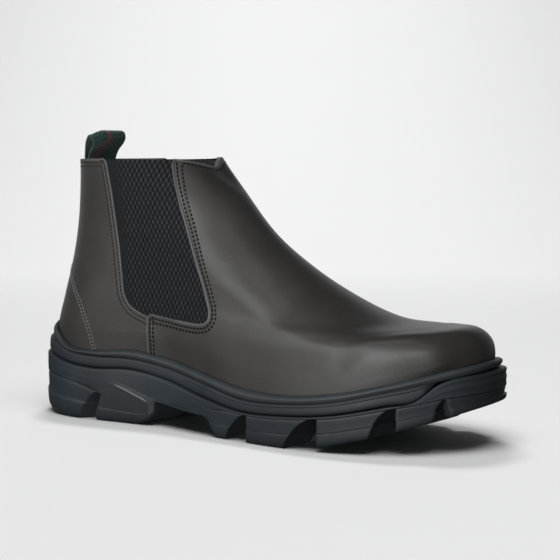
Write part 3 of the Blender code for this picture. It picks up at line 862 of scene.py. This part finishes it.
def panel_border(border, into, offset, lap, collar_offset=None):
    """Path along a panel's border, moved into the leather by offset: up one gore's edge, along the collar
    and down the other gore's edge. Into is 1 for the front panel and -1 for the back one. Returns points,
    outward directions and the share of the collar's fold at each point."""
    path = offset_path(drawn(border), into * offset)
    depth = offset if collar_offset is None else collar_offset
    level, share = find_level(path[:, 0], path[:, 1])
    inside = level < collar_level(share, depth)
    stop = len(level) if inside.all() else int(np.argmin(inside))
    end = (1 + into) / 2
    collar_share = end + (share[stop - 1] - end) * np.linspace(1, 0, COLLAR_POINTS)[1:] ** 2
    half_level = np.concatenate([level[:stop], collar_level(collar_share, depth)])
    half_share = np.concatenate([share[:stop], collar_share])
    level = np.concatenate([half_level, half_level[-2::-1]])
    around = np.concatenate([half_share, 2 - half_share[-2::-1]])
    points = upper_at(level, around)
    normal = upper_normal(level, around)
    on_collar = np.concatenate([np.zeros(stop), np.ones(len(collar_share))])
    on_collar = np.concatenate([on_collar, on_collar[-2::-1]])
    from_corner = np.abs(points[:, 0] - path[stop - 1, 0]) * on_collar
    points = points + (lap * (1 - ease(from_corner / CORNER_LAP)))[:, None] * normal
    carried = np.concatenate([points, normal, ease(from_corner / CORNER_FOLD)[:, None]], axis=1)
    carried = even_path(points, 3 * BORDER_POINTS, carried)
    return carried[:, :3], unit(carried[:, 3:6]), carried[:, 6]


def collar_level(share, depth):
    """Level of the points that lie a given depth below the collar's edge."""
    drop = np.linalg.norm(upper_at(1.0, share) - upper_at(1.0 - COLLAR_PROBE, share), axis=1)
    return COLLAR_TOP - depth / (drop / COLLAR_PROBE)


def edge_row(border, into, offset, side, lift, top):
    """Path along one gore's edge, moved into the leather by offset, that ends at a height."""
    path = offset_path(drawn(border), into * offset)
    return on_upper(path[path[:, 1] < top], side, lift)


def make_edges():
    """Folded edges along the gores and round the collar, and the swell beside the stitch rows."""
    folds = Mesh()
    swells = Mesh()
    for (border, into, lap), offset in zip(PANELS.values(), SWELL_OFFSETS):
        path, normal, fold = panel_border(border, into, 0.0, lap)
        section = EDGE_FOLD + fold[:, None, None] * (COLLAR_FOLD - EDGE_FOLD)
        section = section * (1 + ROLL_SWELL * ease_over(path[:, 0], ROLL_STRETCH))[:, None, None]
        folds.add(*sweep(path, normal, section * (into, 1)))
        path, normal, _ = panel_border(border, into, offset, lap)
        swells.add(*sweep(path, normal, ROW_SWELL))
    # the folded edges take the paler leather, partly a painted highlight
    folds.piece("folded_edges", EDGE_LEATHER_BURNISH_AND_HIGHLIGHT, sharp=60)
    swells.piece("seam_swells", LEATHER, sharp=60)


# Stitches of each row: way from one to the next, then length, width and height of one
OUTER_STITCH = (2.55, 1.75, 1.3, 0.35)
# the inner row's stitches are long and wide enough to join into a dark line: real stitches, and a painted
# shade of the groove beside the fold
INNER_STITCH_AND_GROOVE_SHADE = (2.5, 2.1, 1.2, 0.35)
BACK_STITCH = (2.1, 1.5, 0.75, 0.25)
COUNTER_STITCH = (2.1, 1.5, 0.7, 0.35)

# Ways of the rows from the panel's border or the counter's seam
OUTER_ROW = 4.4
OUTER_ROW_COLLAR = 2.9  # where it runs along the collar
INNER_ROW = 2.0
INNER_ROW_TOP = 156.5  # height at which it ends
BACK_ROWS = (1.8, 4.4)
COUNTER_ROWS = (-1.1, 1.1)
FRONT_LIFT = 0.72  # height of the thread's middle over the form, on the lapped front panel
PLAIN_LIFT = 0.05  # and on the rest


def stitch_shape(length, width, height):
    """One stitch as a small rounded bead: rings of (along, across, up)."""
    rings = ((-1.0, 0.25), (-0.8, 0.75), (-0.35, 1.0), (0.35, 1.0), (0.8, 0.75), (1.0, 0.25))
    turn = np.linspace(0, 2 * np.pi, 7)[:-1]
    points = []
    for along, round_share in rings:
        for angle in turn:
            across = width / 2 * round_share * np.cos(angle)
            points.append((along * length / 2, across, height * round_share * np.sin(angle)))
    return np.array(points), tube_faces(len(rings), len(turn))


def add_stitches(mesh, path, normal, pitch, length, width, height):
    """Row of stitches along a path on a surface."""
    count = max(int(run_along(path)[-1] / pitch), 2)
    middle = even_path(path, count)
    up = unit(even_path(normal, count))
    along = unit(np.gradient(middle, axis=0))
    across = np.cross(up, along)
    shape, faces = stitch_shape(length, width, height)
    for point, a, b, c in zip(middle, along, across, up):
        mesh.add(point + shape @ np.stack([a, b, c]), faces)


def make_stitching():
    """Dark rows round the front panel, fine grey ones on the back panel, pale ones on the counter."""
    dark = Mesh()
    path, normal, _ = panel_border(FRONT_BORDER, 1, OUTER_ROW, FRONT_LIFT, OUTER_ROW_COLLAR)
    add_stitches(dark, path, normal, *OUTER_STITCH)
    for side in (LATERAL, MEDIAL):
        # inner rows of long dark stitches, which also paint the shade of the groove beside the fold
        path, normal = edge_row(FRONT_BORDER, 1, INNER_ROW, side, FRONT_LIFT, INNER_ROW_TOP)
        add_stitches(dark, path, normal, *INNER_STITCH_AND_GROOVE_SHADE)
    dark.piece("front_stitching", DARK_THREAD, sharp=80)
    fine = Mesh()
    for offset in BACK_ROWS:
        path, normal, _ = panel_border(BACK_BORDER, -1, offset, PLAIN_LIFT)
        add_stitches(fine, path, normal, *BACK_STITCH)
    fine.piece("back_stitching", GREY_THREAD, sharp=80)
    pale = Mesh()
    seam = drawn(COUNTER_SEAM, 2 * BORDER_POINTS)
    for side in (LATERAL, MEDIAL):
        for offset in COUNTER_ROWS:
            path, normal = on_upper(offset_path(seam, offset), side, PLAIN_LIFT)
            add_stitches(pale, path, normal, *COUNTER_STITCH)
    pale.piece("counter_stitching", PALE_THREAD, sharp=80)


# Gores

WEAVE_PITCH = 3.15  # width of one repeat of the lattice
WEAVE_RISE = 5.56  # and its height
WEAVE_MEAN, WEAVE_SWING = 0.46, 0.5  # middle and swing of the strands' height, as shares of their relief
WEAVE_RELIEF = 0.3  # height of the strands over the ground of the weave
GORE_STRAIGHT = (74.0, 157.5)  # heights between which the gore's edges run straight
GORE_FLOOR = 62.5  # height of its bottom edge, which rises at the back over a share of the width
GORE_FLOOR_RISE = 14.0
GORE_FLOOR_SHARE = 0.2
GORE_TOP = 159.4
GORE_UNDER = 2.5  # how far it runs in under the leather
GORE_LOW_Z = 78.0  # below this height both its edges lean forwards, by these slopes
GORE_BACK_LEAN, GORE_FRONT_LEAN = 0.1, 0.15
GORE_SINK = 0.25  # how far the ground of the weave lies below the recess
GORE_CLOTH = GORE_WALL - 0.2  # thickness of the cloth below its strands
SELVEDGE = 3.0  # width of the plain selvedge low down, and how much it widens over a stretch of height
SELVEDGE_GROWTH = 5.0
SELVEDGE_STRETCH = (80.0, 75.0)
SELVEDGE_BLEND = 9.0  # width over which it passes into the lattice
SELVEDGE_HEIGHT = 0.42


def gore_edge(border, z):
    """x of a gore's edge by height, from the straight run of a panel's border."""
    along = (border["z"] > GORE_STRAIGHT[0]) & (border["z"] < GORE_STRAIGHT[1])
    return spline(border["z"][along], border["x"][along], z)


def make_gores():
    """Elastic panels: a lattice of short raised strands, and a plain selvedge along the back edge."""
    s, t = np.meshgrid(*(np.linspace(0, 1, count) for count in GORE_GRID))
    floor = GORE_FLOOR + GORE_FLOOR_RISE * (1 - ease(s / GORE_FLOOR_SHARE))
    z = floor + t * (GORE_TOP - floor)
    low = np.clip(GORE_LOW_Z - z, 0, None)
    left = gore_edge(BACK_BORDER, z) - GORE_UNDER + low * GORE_BACK_LEAN
    right = gore_edge(FRONT_BORDER, z) + GORE_UNDER + low * GORE_FRONT_LEAN
    x = left + s * (right - left)
    lattice = np.cos(2 * np.pi * x / WEAVE_PITCH) * np.cos(2 * np.pi * z / WEAVE_RISE)
    weave = WEAVE_MEAN + WEAVE_SWING * lattice
    band = GORE_UNDER + SELVEDGE + SELVEDGE_GROWTH * ease_over(z, SELVEDGE_STRETCH)
    plain = ease((band - (x - left)) / SELVEDGE_BLEND + 0.5)
    height = (weave * (1 - plain) + SELVEDGE_HEIGHT * plain).ravel()
    lift = WEAVE_RELIEF * height - GORE_RECESS - GORE_SINK
    faces = [tuple(cell) for cell in grid_faces(*x.shape)]
    for side, name in ((LATERAL, "gore_lateral"), (MEDIAL, "gore_medial")):
        face, normal = on_upper(np.stack([x.ravel(), z.ravel()], -1), side, lift[:, None])
        mesh = Mesh(*thicken(face, normal, faces, GORE_CLOTH))
        values = {"weave": np.tile(height, 2)}
        mesh.piece(f"elastic_{name}", ELASTIC, stands_for=(name,), values=values)


# Pull loop and insole

LOOP_NEAR = (2.0, 12.0)  # the tape's near edge sinks from here outwards: start and length
TAPE_EDGE = 0.8  # width of the tape's rounded edges
TAPE_EDGE_START = 0.15  # share of the rounding at which they start

# Rows from the insole's edge inwards: rise above the seat, and share of the way to the middle
INSOLE_ROWS = table(
    ("rise", "inset"),
    (3.4, 0.0), (3.9, 0.012), (4.0, 0.04), (3.7, 0.2), (3.6, 0.5), (3.6, 0.9),
)


def make_pull_loop():
    """Tape loop sewn inside the back of the collar."""
    collar = {name: values[-1] for name, values in UPPER_RINGS.items()}
    path = drawn(LOOP_PATH, LOOP_GRID[0])
    along = unit(np.gradient(path, axis=0))
    y = np.linspace(-LOOP_WIDTH / 2, LOOP_WIDTH / 2, LOOP_GRID[1])
    inner_length = collar["heel"] - LEATHER_WALL
    wrap = inner_length * (1 - np.sqrt(1 - (y / (SHAFT_HALF_WIDTH - LEATHER_WALL)) ** 2))
    near = ease_over(-y, LOOP_NEAR)
    high = ease(path[:, 1:] / LOOP_PATH["z"].max())
    start_x = collar["back_x"] + LEATHER_WALL
    middle = np.empty((*LOOP_GRID, 3))
    middle[..., 0] = start_x + path[:, :1] * (1 - LOOP_PINCH * near * high) + (1 - LOOP_FLAT * high) * wrap
    middle[..., 1] = y
    middle[..., 2] = collar["back_z"] + path[:, 1:] - LOOP_DROOP * near * high
    normal = np.zeros_like(middle)
    normal[..., 0] = along[:, 1:]
    normal[..., 2] = -along[:, :1]
    half = LOOP_TAPE / 2 * round_end((LOOP_WIDTH / 2 - np.abs(y)) / TAPE_EDGE + TAPE_EDGE_START, 2.0)
    outwards = half[:, None] * normal
    faces = [tuple(cell) for cell in grid_faces(*LOOP_GRID)]
    tape = thicken((middle + outwards).reshape(-1, 3), outwards.reshape(-1, 3), faces, 2.0)
    across, lengthwise = np.meshgrid(y, run_along(path))
    values = {"across": np.tile(across.ravel(), 2), "along": np.tile(lengthwise.ravel(), 2)}
    Mesh(*tape).piece("webbing_loop", WEBBING, stands_for=("pull_loop",), values=values)


def make_insole():
    """Insole that fills the upper's underside, dished a little at its edge."""
    ring, normal = upper_grid(np.linspace(0, 0.1, 5), end_dense(INSOLE_STATIONS))
    edge = ring[0] - (LEATHER_WALL + 2 * GAP) * normal[0] * (1, 1, 0)
    edge[:, 2] = sole_line("seat", edge[:, 0]) + GAP
    middle = edge * (1, 0, 1) + np.outer(middle_y(edge[:, 0]), (0, 1, 0))
    loops = [edge]
    for rise, inset in zip(*INSOLE_ROWS.values()):
        loops.append(edge + inset * (middle - edge) + (0, 0, rise))
    Mesh(*closed_stack(loops)).piece("textile_insole", LINING, stands_for=("insole",))


# Sole

RIM_REACH = 0.3  # level of the upper that the rim stays below
RIM_LIP = ((1.02, 1.3), (0.98, 0.5))  # rounded top of the rim: share of its height, and thickness
RIM_BACK = (0.9, 0.5, 0.0)  # shares of its height down its back
RIM_BACK_GAP = 0.1


def make_rim():
    """Rolled rim that stands round the lasted edge."""
    skin, normals = upper_grid(np.linspace(0, RIM_REACH, RIM_LEVELS), end_dense(RIM_STATIONS))
    from_heel = skin[0][:, 0] - UPPER_RINGS["back_x"][0]
    fill = RIM_HEEL_SHARE + (1 - RIM_HEEL_SHARE) * ease(from_heel / RIM_HEEL_LENGTH)

    def against_upper(share, outset):
        seat = sole_line("seat", skin[0][:, 0]) + GAP
        height = seat + share * (sole_line("rim", skin[0][:, 0]) - seat)
        loop = np.empty_like(skin[0])
        for i, z in enumerate(height):
            loop[i] = [np.interp(z, skin[:, i, 2], skin[:, i, axis]) for axis in range(3)]
        loop += unit(normals[0] * (1, 1, 0)) * np.asarray(outset)[:, None]
        seat = sole_line("seat", loop[:, 0]) + GAP
        loop[:, 2] = seat + share * (sole_line("rim", loop[:, 0]) - seat)
        return loop

    shares = np.linspace(0, 1, RIM_ROWS)
    thick = spline(RIM_SECTION["share"], RIM_SECTION["thick"], shares)
    loops = [against_upper(share, GAP + t * fill) for share, t in (*zip(shares, thick), *RIM_LIP)]
    loops += [against_upper(share, np.full(len(fill), RIM_BACK_GAP)) for share in RIM_BACK]
    # the rim takes the lighter rubber that paints its highlight
    Mesh(*closed_ring(loops)).piece("rolled_rim", RIM_HIGHLIGHT_RUBBER, stands_for=("rim",))


# Wall of the midsole: share of its height, swell, and depth of the fine line ahead of the arch
MIDSOLE_WALL = table(
    ("share", "grow", "line"),
    (0.00, -3.4, 0.0), (0.04, -2.3, 0.0), (0.12, -1.5, 0.0), (0.25, -1.15, 0.0), (0.50, -1.2, 0.0),
    (0.70, -1.35, 0.0), (0.74, -1.37, 0.4), (0.78, -1.4, 0.0), (0.90, -1.7, 0.0), (0.96, -2.3, 0.0),
    (1.00, -3.8, 0.0),
)
BAND_SWELL = -1.15  # swell of the band's face
UNDERCUT = 0.2  # share of the band's height that is undercut, and how much of that is filled at the toe
UNDERCUT_FILL = 0.75
FILL_STRETCH = (252.0, 10.0)
LINE_STRETCH = (90.0, 40.0)  # where the fine line fades in: start and length


def make_midsole():
    """Smooth band with a fine line near its top."""
    x, side = round_trip(end_dense(SOLE_STATIONS))
    tuck = TOE_TUCK * ease((x - TUCK_FROM_X) / TUCK_LENGTH)
    low = sole_line("parting", x)
    high = sole_line("seat", x)
    loops = []
    for share, grow, line in zip(*MIDSOLE_WALL.values()):
        if share < UNDERCUT:
            grow = grow + (BAND_SWELL - grow) * UNDERCUT_FILL * ease_over(x, FILL_STRETCH)
        swell = grow - line * ease_over(x, LINE_STRETCH) - tuck
        loops.append(sole_wall(x, side, low + share * (high - low), swell))
    Mesh(*closed_stack(loops)).piece("midsole_band", RUBBER, stands_for=("midsole",))


def scoop_x(row, z):
    """x of the scooped face behind a notch, by height."""
    foot, top = LUG_NOTCHES["foot_x"][row], LUG_NOTCHES["top_x"][row]
    base = tread_z(foot)
    crown = lug_top_z(top)
    turn = np.linspace(0, np.pi / 2, 9)
    along = (1 - np.cos(turn) + turn / turn[-1]) / 2
    rise = (np.sin(turn) + turn / turn[-1]) / 2
    return np.interp(z, base + (crown - base) * rise, foot + (top - foot) * along)


def upright_x(row, z):
    """x of the upright face ahead of a notch, by height."""
    base = tread_z(LUG_NOTCHES["foot_x"][row])
    return LUG_NOTCHES["upright_x"][row] + LUG_NOTCHES["lean"][row] * (z - base)


# Rows up a lug: share of its height, swell and how much the mid ledge takes off above it
LUG_ROWS = table(
    ("share", "grow", "ledge"),
    (0.00, -2.4, 0.0), (0.02, -1.5, 0.0), (0.05, -0.8, 0.0), (0.10, -0.3, 0.0), (0.20, 0.1, 0.0),
    (0.30, 0.2, 0.0), (0.42, 0.3, 0.0), (0.47, 0.25, 0.0), (0.49, 0.0, 0.2), (0.51, 0.0, 0.9),
    (0.55, 0.0, 0.9), (0.65, 0.0, 0.8), (0.78, 0.0, 0.6), (0.88, 0.0, 0.4), (0.94, -0.1, 0.3),
    (0.975, -0.4, 0.3), (1.00, -1.0, 0.3),
)
LUG_ROUND = 1.1  # radius of a lug's upright edges
LUG_STEP = 0.7  # distance between the columns of a lug's mesh
EDGE_REACH = 30.0  # how far from an edge its lean still shows
EDGE_COLUMNS = (0.0, 0.12, 0.32, 0.6, 0.95)  # ways of the columns at an edge from it
EDGE_CLEAR = 1.3  # way from an edge at which the even columns start
LUG_MIDDLE_Z = 8.0  # height at which a lug's columns are set out
END_LUG_Z = 10.0  # and those of the lugs round the heel and the toe
TOP_ROWS = 0.9  # rows above this share of the height belong to a lug's top edge
HEEL_LEDGE = 0.45  # how much of the ledge the heel's end has
# Stretches, as start and length, on which the ledge and the rounded top end before the smooth lug and
# start again after it
LEDGE_END, LEDGE_START = (40.0, 8.0), (132.0, 8.0)
TOP_END, TOP_START = (44.0, 8.0), (136.0, 8.0)


def ledge_share(x):
    """How much of the mid ledge a lug has: less at the heel's end, none on the smooth lug ahead of it."""
    return HEEL_LEDGE * (1 - ease_over(x, LEDGE_END)) + ease_over(x, LEDGE_START)


def top_share(x):
    """How much the edge between a lug and the wall above is rounded: not at all on the smooth lug."""
    return 1 - ease_over(x, TOP_END) * (1 - ease_over(x, TOP_START))


def arch_recess(x):
    """How far the arch is set back behind the nose of the heel lug."""
    return spline(HEEL_SWOOSH["x"], HEEL_SWOOSH["recess"], x) * ease_over(x, NOSE_TURN)


def lug_swell(x, from_edge):
    """Swell of a lug's face by row, with its upright edges rounded."""
    pull = LUG_ROUND * (1 - np.sqrt(1 - (1 - np.clip(from_edge / LUG_ROUND, 0, 1)) ** 2))
    top = (LUG_ROWS["share"] > TOP_ROWS)[:, None]
    grow = np.where(top, top_share(x), 1) * LUG_ROWS["grow"][:, None]
    return grow - ledge_share(x) * LUG_ROWS["ledge"][:, None] - pull - arch_recess(x)


def lug_columns(start, end):
    """Shares along a lug, even along its tread and crowded at its two edges."""
    length = end - start
    near = np.array(EDGE_COLUMNS) / length
    clear = EDGE_CLEAR / length
    x = np.linspace(start, end, TREAD_SAMPLES)
    run = run_along(np.stack([x, tread_z(x)], -1))
    inner = (np.interp(np.arange(0, run[-1], LUG_STEP), run, x) - start) / length
    inner = inner[(inner > clear) & (inner < 1 - clear)]
    return np.concatenate([near, inner, 1 - near[::-1]])


def settle(x_at, columns, start_z):
    """x and z of a lug's grid, where each x depends on the height there and each height on the x."""
    z = np.full((len(LUG_ROWS["share"]), columns), start_z)
    for _ in range(LUG_ROUNDS):
        x = x_at(z)
        z = tread_z(x) + LUG_ROWS["share"][:, None] * (lug_top_z(x) - tread_z(x))
    return x, z


def add_lug(mesh, left, right, side):
    """Closed block of one lug. left and right give the x of its edges by height, and shape it near them."""
    start, end = left(LUG_MIDDLE_Z), right(LUG_MIDDLE_Z)
    share = lug_columns(start, end)
    upright = start + share * (end - start)
    reach = min(end - start, EDGE_REACH)
    near_left = np.clip(1 - (upright - start) / reach, 0, 1)
    near_right = np.clip(1 - (end - upright) / reach, 0, 1)

    def x_at(z):
        return upright + near_left * (left(z) - start) + near_right * (right(z) - end)

    x, z = settle(x_at, len(share), LUG_MIDDLE_Z)
    from_edge = np.minimum(share, 1 - share) * np.abs(right(z) - left(z))
    face = sole_wall(x, side, z, lug_swell(x, from_edge))
    add_block(mesh, face, face + (NOTCH_SLOPE * NOTCH_REACH, -side * NOTCH_REACH, 0))


def add_block(mesh, face, inner):
    """Closed block between an outer grid and the border of an inner one."""
    rows, columns = face.shape[:2]
    count = rows * columns
    index = np.arange(count).reshape(rows, columns)
    border = np.concatenate([index[0], index[1:, -1], index[-1, -2::-1], index[-2:0:-1, 0]])
    faces = [tuple(cell) for cell in grid_faces(rows, columns)]
    steps = len(border)
    for i in range(steps):
        j = (i + 1) % steps
        faces.append((border[i], border[j], count + j, count + i))
    faces.append(tuple(range(count, count + steps)))
    mesh.add(np.concatenate([face.reshape(-1, 3), inner.reshape(-1, 3)[border]]), faces)


def add_end_lug(mesh, edge, tip_x):
    """Closed block that wraps round the heel or the toe, from notch to notch."""
    t = np.linspace(-1, 1, END_LUG_COLUMNS)
    x, z = settle(lambda z: tip_x + (edge(z) - tip_x) * t**2, len(t), END_LUG_Z)
    side = np.broadcast_to(np.where(t < 0, LATERAL, MEDIAL), x.shape)
    from_edge = (1 - t**2) * np.abs(edge(z) - tip_x)
    face = sole_wall(x, side, z, lug_swell(x, from_edge))
    add_block(mesh, face, sole_wall(x, side, z, np.full(x.shape, -NOTCH_REACH)))


def make_outsole():
    """Lugs round a core, under the wall that carries them."""
    mesh = Mesh()
    last = len(LUG_NOTCHES["foot_x"]) - 1
    add_end_lug(mesh, lambda z: scoop_x(0, z), SOLE_HEEL_X)
    add_end_lug(mesh, lambda z: upright_x(last, z), SOLE_TOE_X)
    for side in (LATERAL, MEDIAL):
        for row in range(last):
            add_lug(mesh, lambda z: upright_x(row, z), lambda z: scoop_x(row + 1, z), side)
    mesh.add(*outsole_wall())
    mesh.add(*outsole_core())
    return mesh.piece("lugged_outsole", RUBBER, sharp=50, stands_for=("outsole",))


def make_lug_highlight():
    """Painted highlight along the raised edge of the smooth heel lug: a thin bead of rubber paler than the
    rest.
    """
    x = np.linspace(HIGHLIGHT_FROM_X, HIGHLIGHT_TO_X, HIGHLIGHT_POINTS)
    z = spline(HEEL_SWOOSH["x"], HEEL_SWOOSH["z"], x)
    turn = np.linspace(0, 2 * np.pi, 9)[:-1]
    ring = np.stack([np.cos(turn), np.sin(turn)], -1)
    taper = end_fade(np.linspace(0, 1, HIGHLIGHT_POINTS), HIGHLIGHT_TAPER)
    radius = HIGHLIGHT_RADIUS * (HIGHLIGHT_TIP + (1 - HIGHLIGHT_TIP) * taper)
    mesh = Mesh()
    for side in (LATERAL, MEDIAL):
        path = sole_wall(x, np.full(len(x), side), z, -HIGHLIGHT_SINK - arch_recess(x))
        normal = np.tile((0.0, side, 0.0), (len(x), 1))
        mesh.add(*sweep(path, normal, radius[:, None, None] * ring))
    mesh.piece("lug_edge_highlight", LUG_HIGHLIGHT_RUBBER, sharp=180)


# Rows up the wall above the lugs: share of its height below the raised edge, or past it, and swell
WALL_ROWS = table(
    ("share", "past", "grow"),
    (0.0, 0, -1.0), (0.05, 0, -0.35), (0.12, 0, -0.05), (0.5, 0, 0.0), (0.9, 0, 0.0), (1.0, 0, 0.1),
    (0.0, 1, 0.0), (0.1, 1, 0.0), (0.2, 1, 0.0), (0.3, 1, 0.0), (0.4, 1, 0.0), (0.5, 1, 0.0),
    (0.6, 1, 0.0), (0.7, 1, 0.0), (0.8, 1, -0.02), (0.9, 1, -0.15), (0.96, 1, -0.5), (1.0, 1, -1.4),
)
PLAIN_LINE = 0.4  # share of the height at which the rows part where there is no raised edge
LINE_LIMITS = (0.05, 0.85)
BEVEL = 1.5  # height of the step from the raised edge to the wall past it, and its greatest share
BEVEL_SHARE = 0.12
RIB_DEPTH = 0.2  # ribs of the toe bumper, and where they start
RIB_COUNT = 2.5
RIB_STRETCH = (270.0, 10.0)


def outsole_wall():
    """Solid above the lugs: heel wall with its raised lug edge, arch wall and ribbed toe bumper."""
    x, side = round_trip(end_dense(SOLE_STATIONS))
    low = lug_top_z(x)
    high = sole_line("parting", x) - GAP
    swoosh = np.interp(x, HEEL_SWOOSH["x"], HEEL_SWOOSH["z"])
    marked = (x > HEEL_SWOOSH["x"][0]) & (x < HEEL_SWOOSH["x"][-1])
    recess = spline(HEEL_SWOOSH["x"], HEEL_SWOOSH["recess"], x) * marked
    line = np.clip(np.where(marked, (swoosh - low) / (high - low), PLAIN_LINE), *LINE_LIMITS)
    start = line + np.minimum(BEVEL / (high - low), BEVEL_SHARE)
    toe = ease_over(x, RIB_STRETCH)
    loops = []
    for share, past, grow in zip(*WALL_ROWS.values()):
        place = start + (1 - start) * share if past else line * share
        ribs = RIB_DEPTH * toe * np.sin(place * 2 * np.pi * RIB_COUNT)
        swell = grow * (top_share(x) if grow < 0 and not past else 1) + ribs
        swell = swell - (recess if past else arch_recess(x))
        loops.append(sole_wall(x, side, low + place * (high - low), swell))
    return closed_stack(loops)


CORE_LIFT = 0.4  # the core stays this far above the ground, so that the lugs carry
CORE_UNDER = 2.0  # how far it runs into the lugs beside it
CORE_RISE = 1.0  # and up into the wall above them
ARCH_CORE_HALF = 16.0  # least half width of the core under the arch
ARCH_STRETCHES = ((58.0, 10.0), (140.0, -8.0))  # where that width fades in from each end: start and length
CHANNEL_RUNS = ((20.0, 79.0), (152.0, 262.0))  # from and to, at the heel and at the forefoot
CHANNEL_END = 3.0  # length over which the channel deepens


def outsole_core():
    """Core between the side lugs, with a channel along the middle of its tread."""
    inset = NOTCH_REACH - CORE_UNDER
    x = np.linspace(SOLE_HEEL_X + inset, SOLE_TOE_X - inset, CORE_STATIONS)
    plain = SOLE_HEEL_X + SOLE_LENGTH * (x - x[0]) / (x[-1] - x[0])
    middle = middle_y(x)
    floor = tread_z(x) + CORE_LIFT
    in_arch = ARCH_CORE_HALF * ease_over(x, ARCH_STRETCHES[0]) * ease_over(x, ARCH_STRETCHES[1])
    edges = []
    for side in (LATERAL, MEDIAL):
        edge = sole_wall(plain, np.full(len(x), side), floor, np.full(len(x), -inset))
        edge[:, 1] = middle + side * np.maximum(side * (edge[:, 1] - middle), in_arch)
        edges.append(edge)
    deep = np.zeros(len(x))
    for start, end in CHANNEL_RUNS:
        run = ease_over(x, (start, CHANNEL_END)) * ease_over(x, (end, -CHANNEL_END))
        deep = np.maximum(deep, run)
    wide, narrow = CHANNEL_HALF_WIDTH, CHANNEL_HALF_WIDTH - CHANNEL_TAPER
    rows = [edges[0]]
    for y, depth in ((-wide, 0), (-narrow, CHANNEL_DEPTH), (narrow, CHANNEL_DEPTH), (wide, 0)):
        limit = np.clip(middle + y, edges[0][:, 1], edges[1][:, 1])
        rows.append(np.stack([x, limit, floor + depth * deep], -1))
    rows.append(edges[1])
    top = lug_top_z(x) + CORE_RISE
    rows += [np.stack([x, edge[:, 1], top], -1) for edge in reversed(edges)]
    return np.stack(rows, 1).reshape(-1, 3), tube_faces(len(x), len(rows))


# Studio

CAMERA_AT = (0.4272, -0.7119, 0.1614)
CAMERA_FORWARD = (-0.4996, 0.8617, -0.0887)
CAMERA_LENS = 89.48
STAGE_HALF_WIDTH = 8.0


def stage_sheet(name, profile, material):
    """Wide sheet of the studio, square to the camera, from a profile of (way behind the boot, height)."""
    forward = np.array((CAMERA_FORWARD[0], CAMERA_FORWARD[1]))
    forward /= np.linalg.norm(forward)
    right = np.array((forward[1], -forward[0]))
    points = []
    for run, z in profile:
        for across in (-STAGE_HALF_WIDTH, STAGE_HALF_WIDTH):
            points.append((*(run * forward + across * right), z))
    faces = [(2 * i, 2 * i + 1, 2 * i + 3, 2 * i + 2) for i in range(len(profile) - 1)]
    mesh = bpy.data.meshes.new(name)
    mesh.from_pydata(points, [], faces)
    mesh.shade_smooth()
    mesh.materials.append(material)
    obj = link(name, mesh)
    obj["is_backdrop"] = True
    return obj


def make_stage():
    """Pale floor, and the backdrop it sweeps up into, which also throws light back on the boot."""
    paper = principled("studio_paper", (0.80, 0.80, 0.80), 0.9, Specular_IOR_Level=0.1)
    bend, behind, ahead, height = 0.9, 1.1, 2.0, 1.3
    floor = stage_sheet("studio_floor", [(-ahead, 0.0), (behind, 0.0)], paper)
    floor.visible_diffuse = False
    floor.visible_glossy = False
    turn = np.linspace(0, np.pi / 2, 60)
    curve = [(behind + bend * np.sin(a), bend - bend * np.cos(a)) for a in turn]
    backdrop = stage_sheet("studio_backdrop", [*curve, (behind + bend, height)], paper)
    return [floor, backdrop]


def aimed(name, data, place, way):
    """Camera or light at a place, that looks along a way."""
    obj = link(name, data)
    obj.location = place
    obj.rotation_euler = Vector(way).to_track_quat("-Z", "Y").to_euler()
    return obj


def make_camera():
    data = bpy.data.cameras.new("camera")
    data.lens = CAMERA_LENS
    data.sensor_width = 36
    data.clip_start = 0.01
    bpy.context.scene.camera = aimed("camera", data, CAMERA_AT, CAMERA_FORWARD)


def chosen_objects(name, objects):
    """Collection that tells a light which objects it works on."""
    chosen = bpy.data.collections.new(name)
    for obj in objects:
        chosen.objects.link(obj)
    return chosen


def area_light(name, place, aim, size, power, receivers, blockers=None):
    """Soft light aimed at a point, on the receivers only. All objects cast shadows unless blockers are
    given."""
    data = bpy.data.lights.new(name, "AREA")
    data.shape = "RECTANGLE"
    data.size, data.size_y = size
    data.energy = power
    obj = aimed(name, data, place, Vector(aim) - Vector(place))
    obj.visible_camera = False
    obj.light_linking.receiver_collection = chosen_objects(f"{name}_receivers", receivers)
    if blockers:
        obj.light_linking.blocker_collection = chosen_objects(f"{name}_blockers", blockers)
    return obj


def make_lights(stage, outsole):
    """Front softbox, higher fill and top light, light thrown back by the floor, a soft light on the medial
    side that leaves no glint, a little more on the sole, and two lights for the floor and the backdrop."""
    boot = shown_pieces()
    middle = (0.0, 0.0, 0.08)
    area_light("front", (0.46, -1.41, 0.31), middle, (1.0, 0.5), 11, boot)
    area_light("fill", (-0.45, -1.25, 0.78), middle, (1.5, 0.6), 10, boot)
    area_light("top", (0.14, -0.67, 1.42), middle, (0.9, 0.6), 2.7, boot)
    area_light("bounce", (0.06, -0.50, 0.003), (0.06, -0.50, 1.0), (0.64, 0.5), 4.3, boot)
    medial = area_light("medial", (-0.15, 1.0, 0.45), middle, (1.2, 0.8), 12, boot)
    medial.visible_glossy = False
    area_light("sole_bounce", (0.06, -0.28, 0.003), (0.06, -0.28, 1.0), (0.4, 0.2), 1.0, [outsole])
    area_light("ground", (0.22, -0.38, 1.3), (0.22, -0.38, 0.0), (1.0, 1.0), 14.5, stage, boot)
    area_light("wall", (-0.75, 1.3, 2.0), (-0.95, 1.65, 0.0), (0.8, 0.8), 36, stage, [outsole])
    world = bpy.data.worlds.new("studio")
    world.use_nodes = True
    background = world.node_tree.nodes["Background"]
    background.inputs["Color"].default_value = (0.95, 0.97, 1.0, 1)
    background.inputs["Strength"].default_value = 0.05
    bpy.context.scene.world = world


def main():
    bpy.context.scene.view_settings.view_transform = "Standard"
    make_camera()
    stage = make_stage()
    make_panels()
    make_lining_sock()
    make_edges()
    make_stitching()
    make_gores()
    make_pull_loop()
    make_insole()
    make_rim()
    make_midsole()
    outsole = make_outsole()
    make_lug_highlight()
    make_lights(stage, outsole)


main()
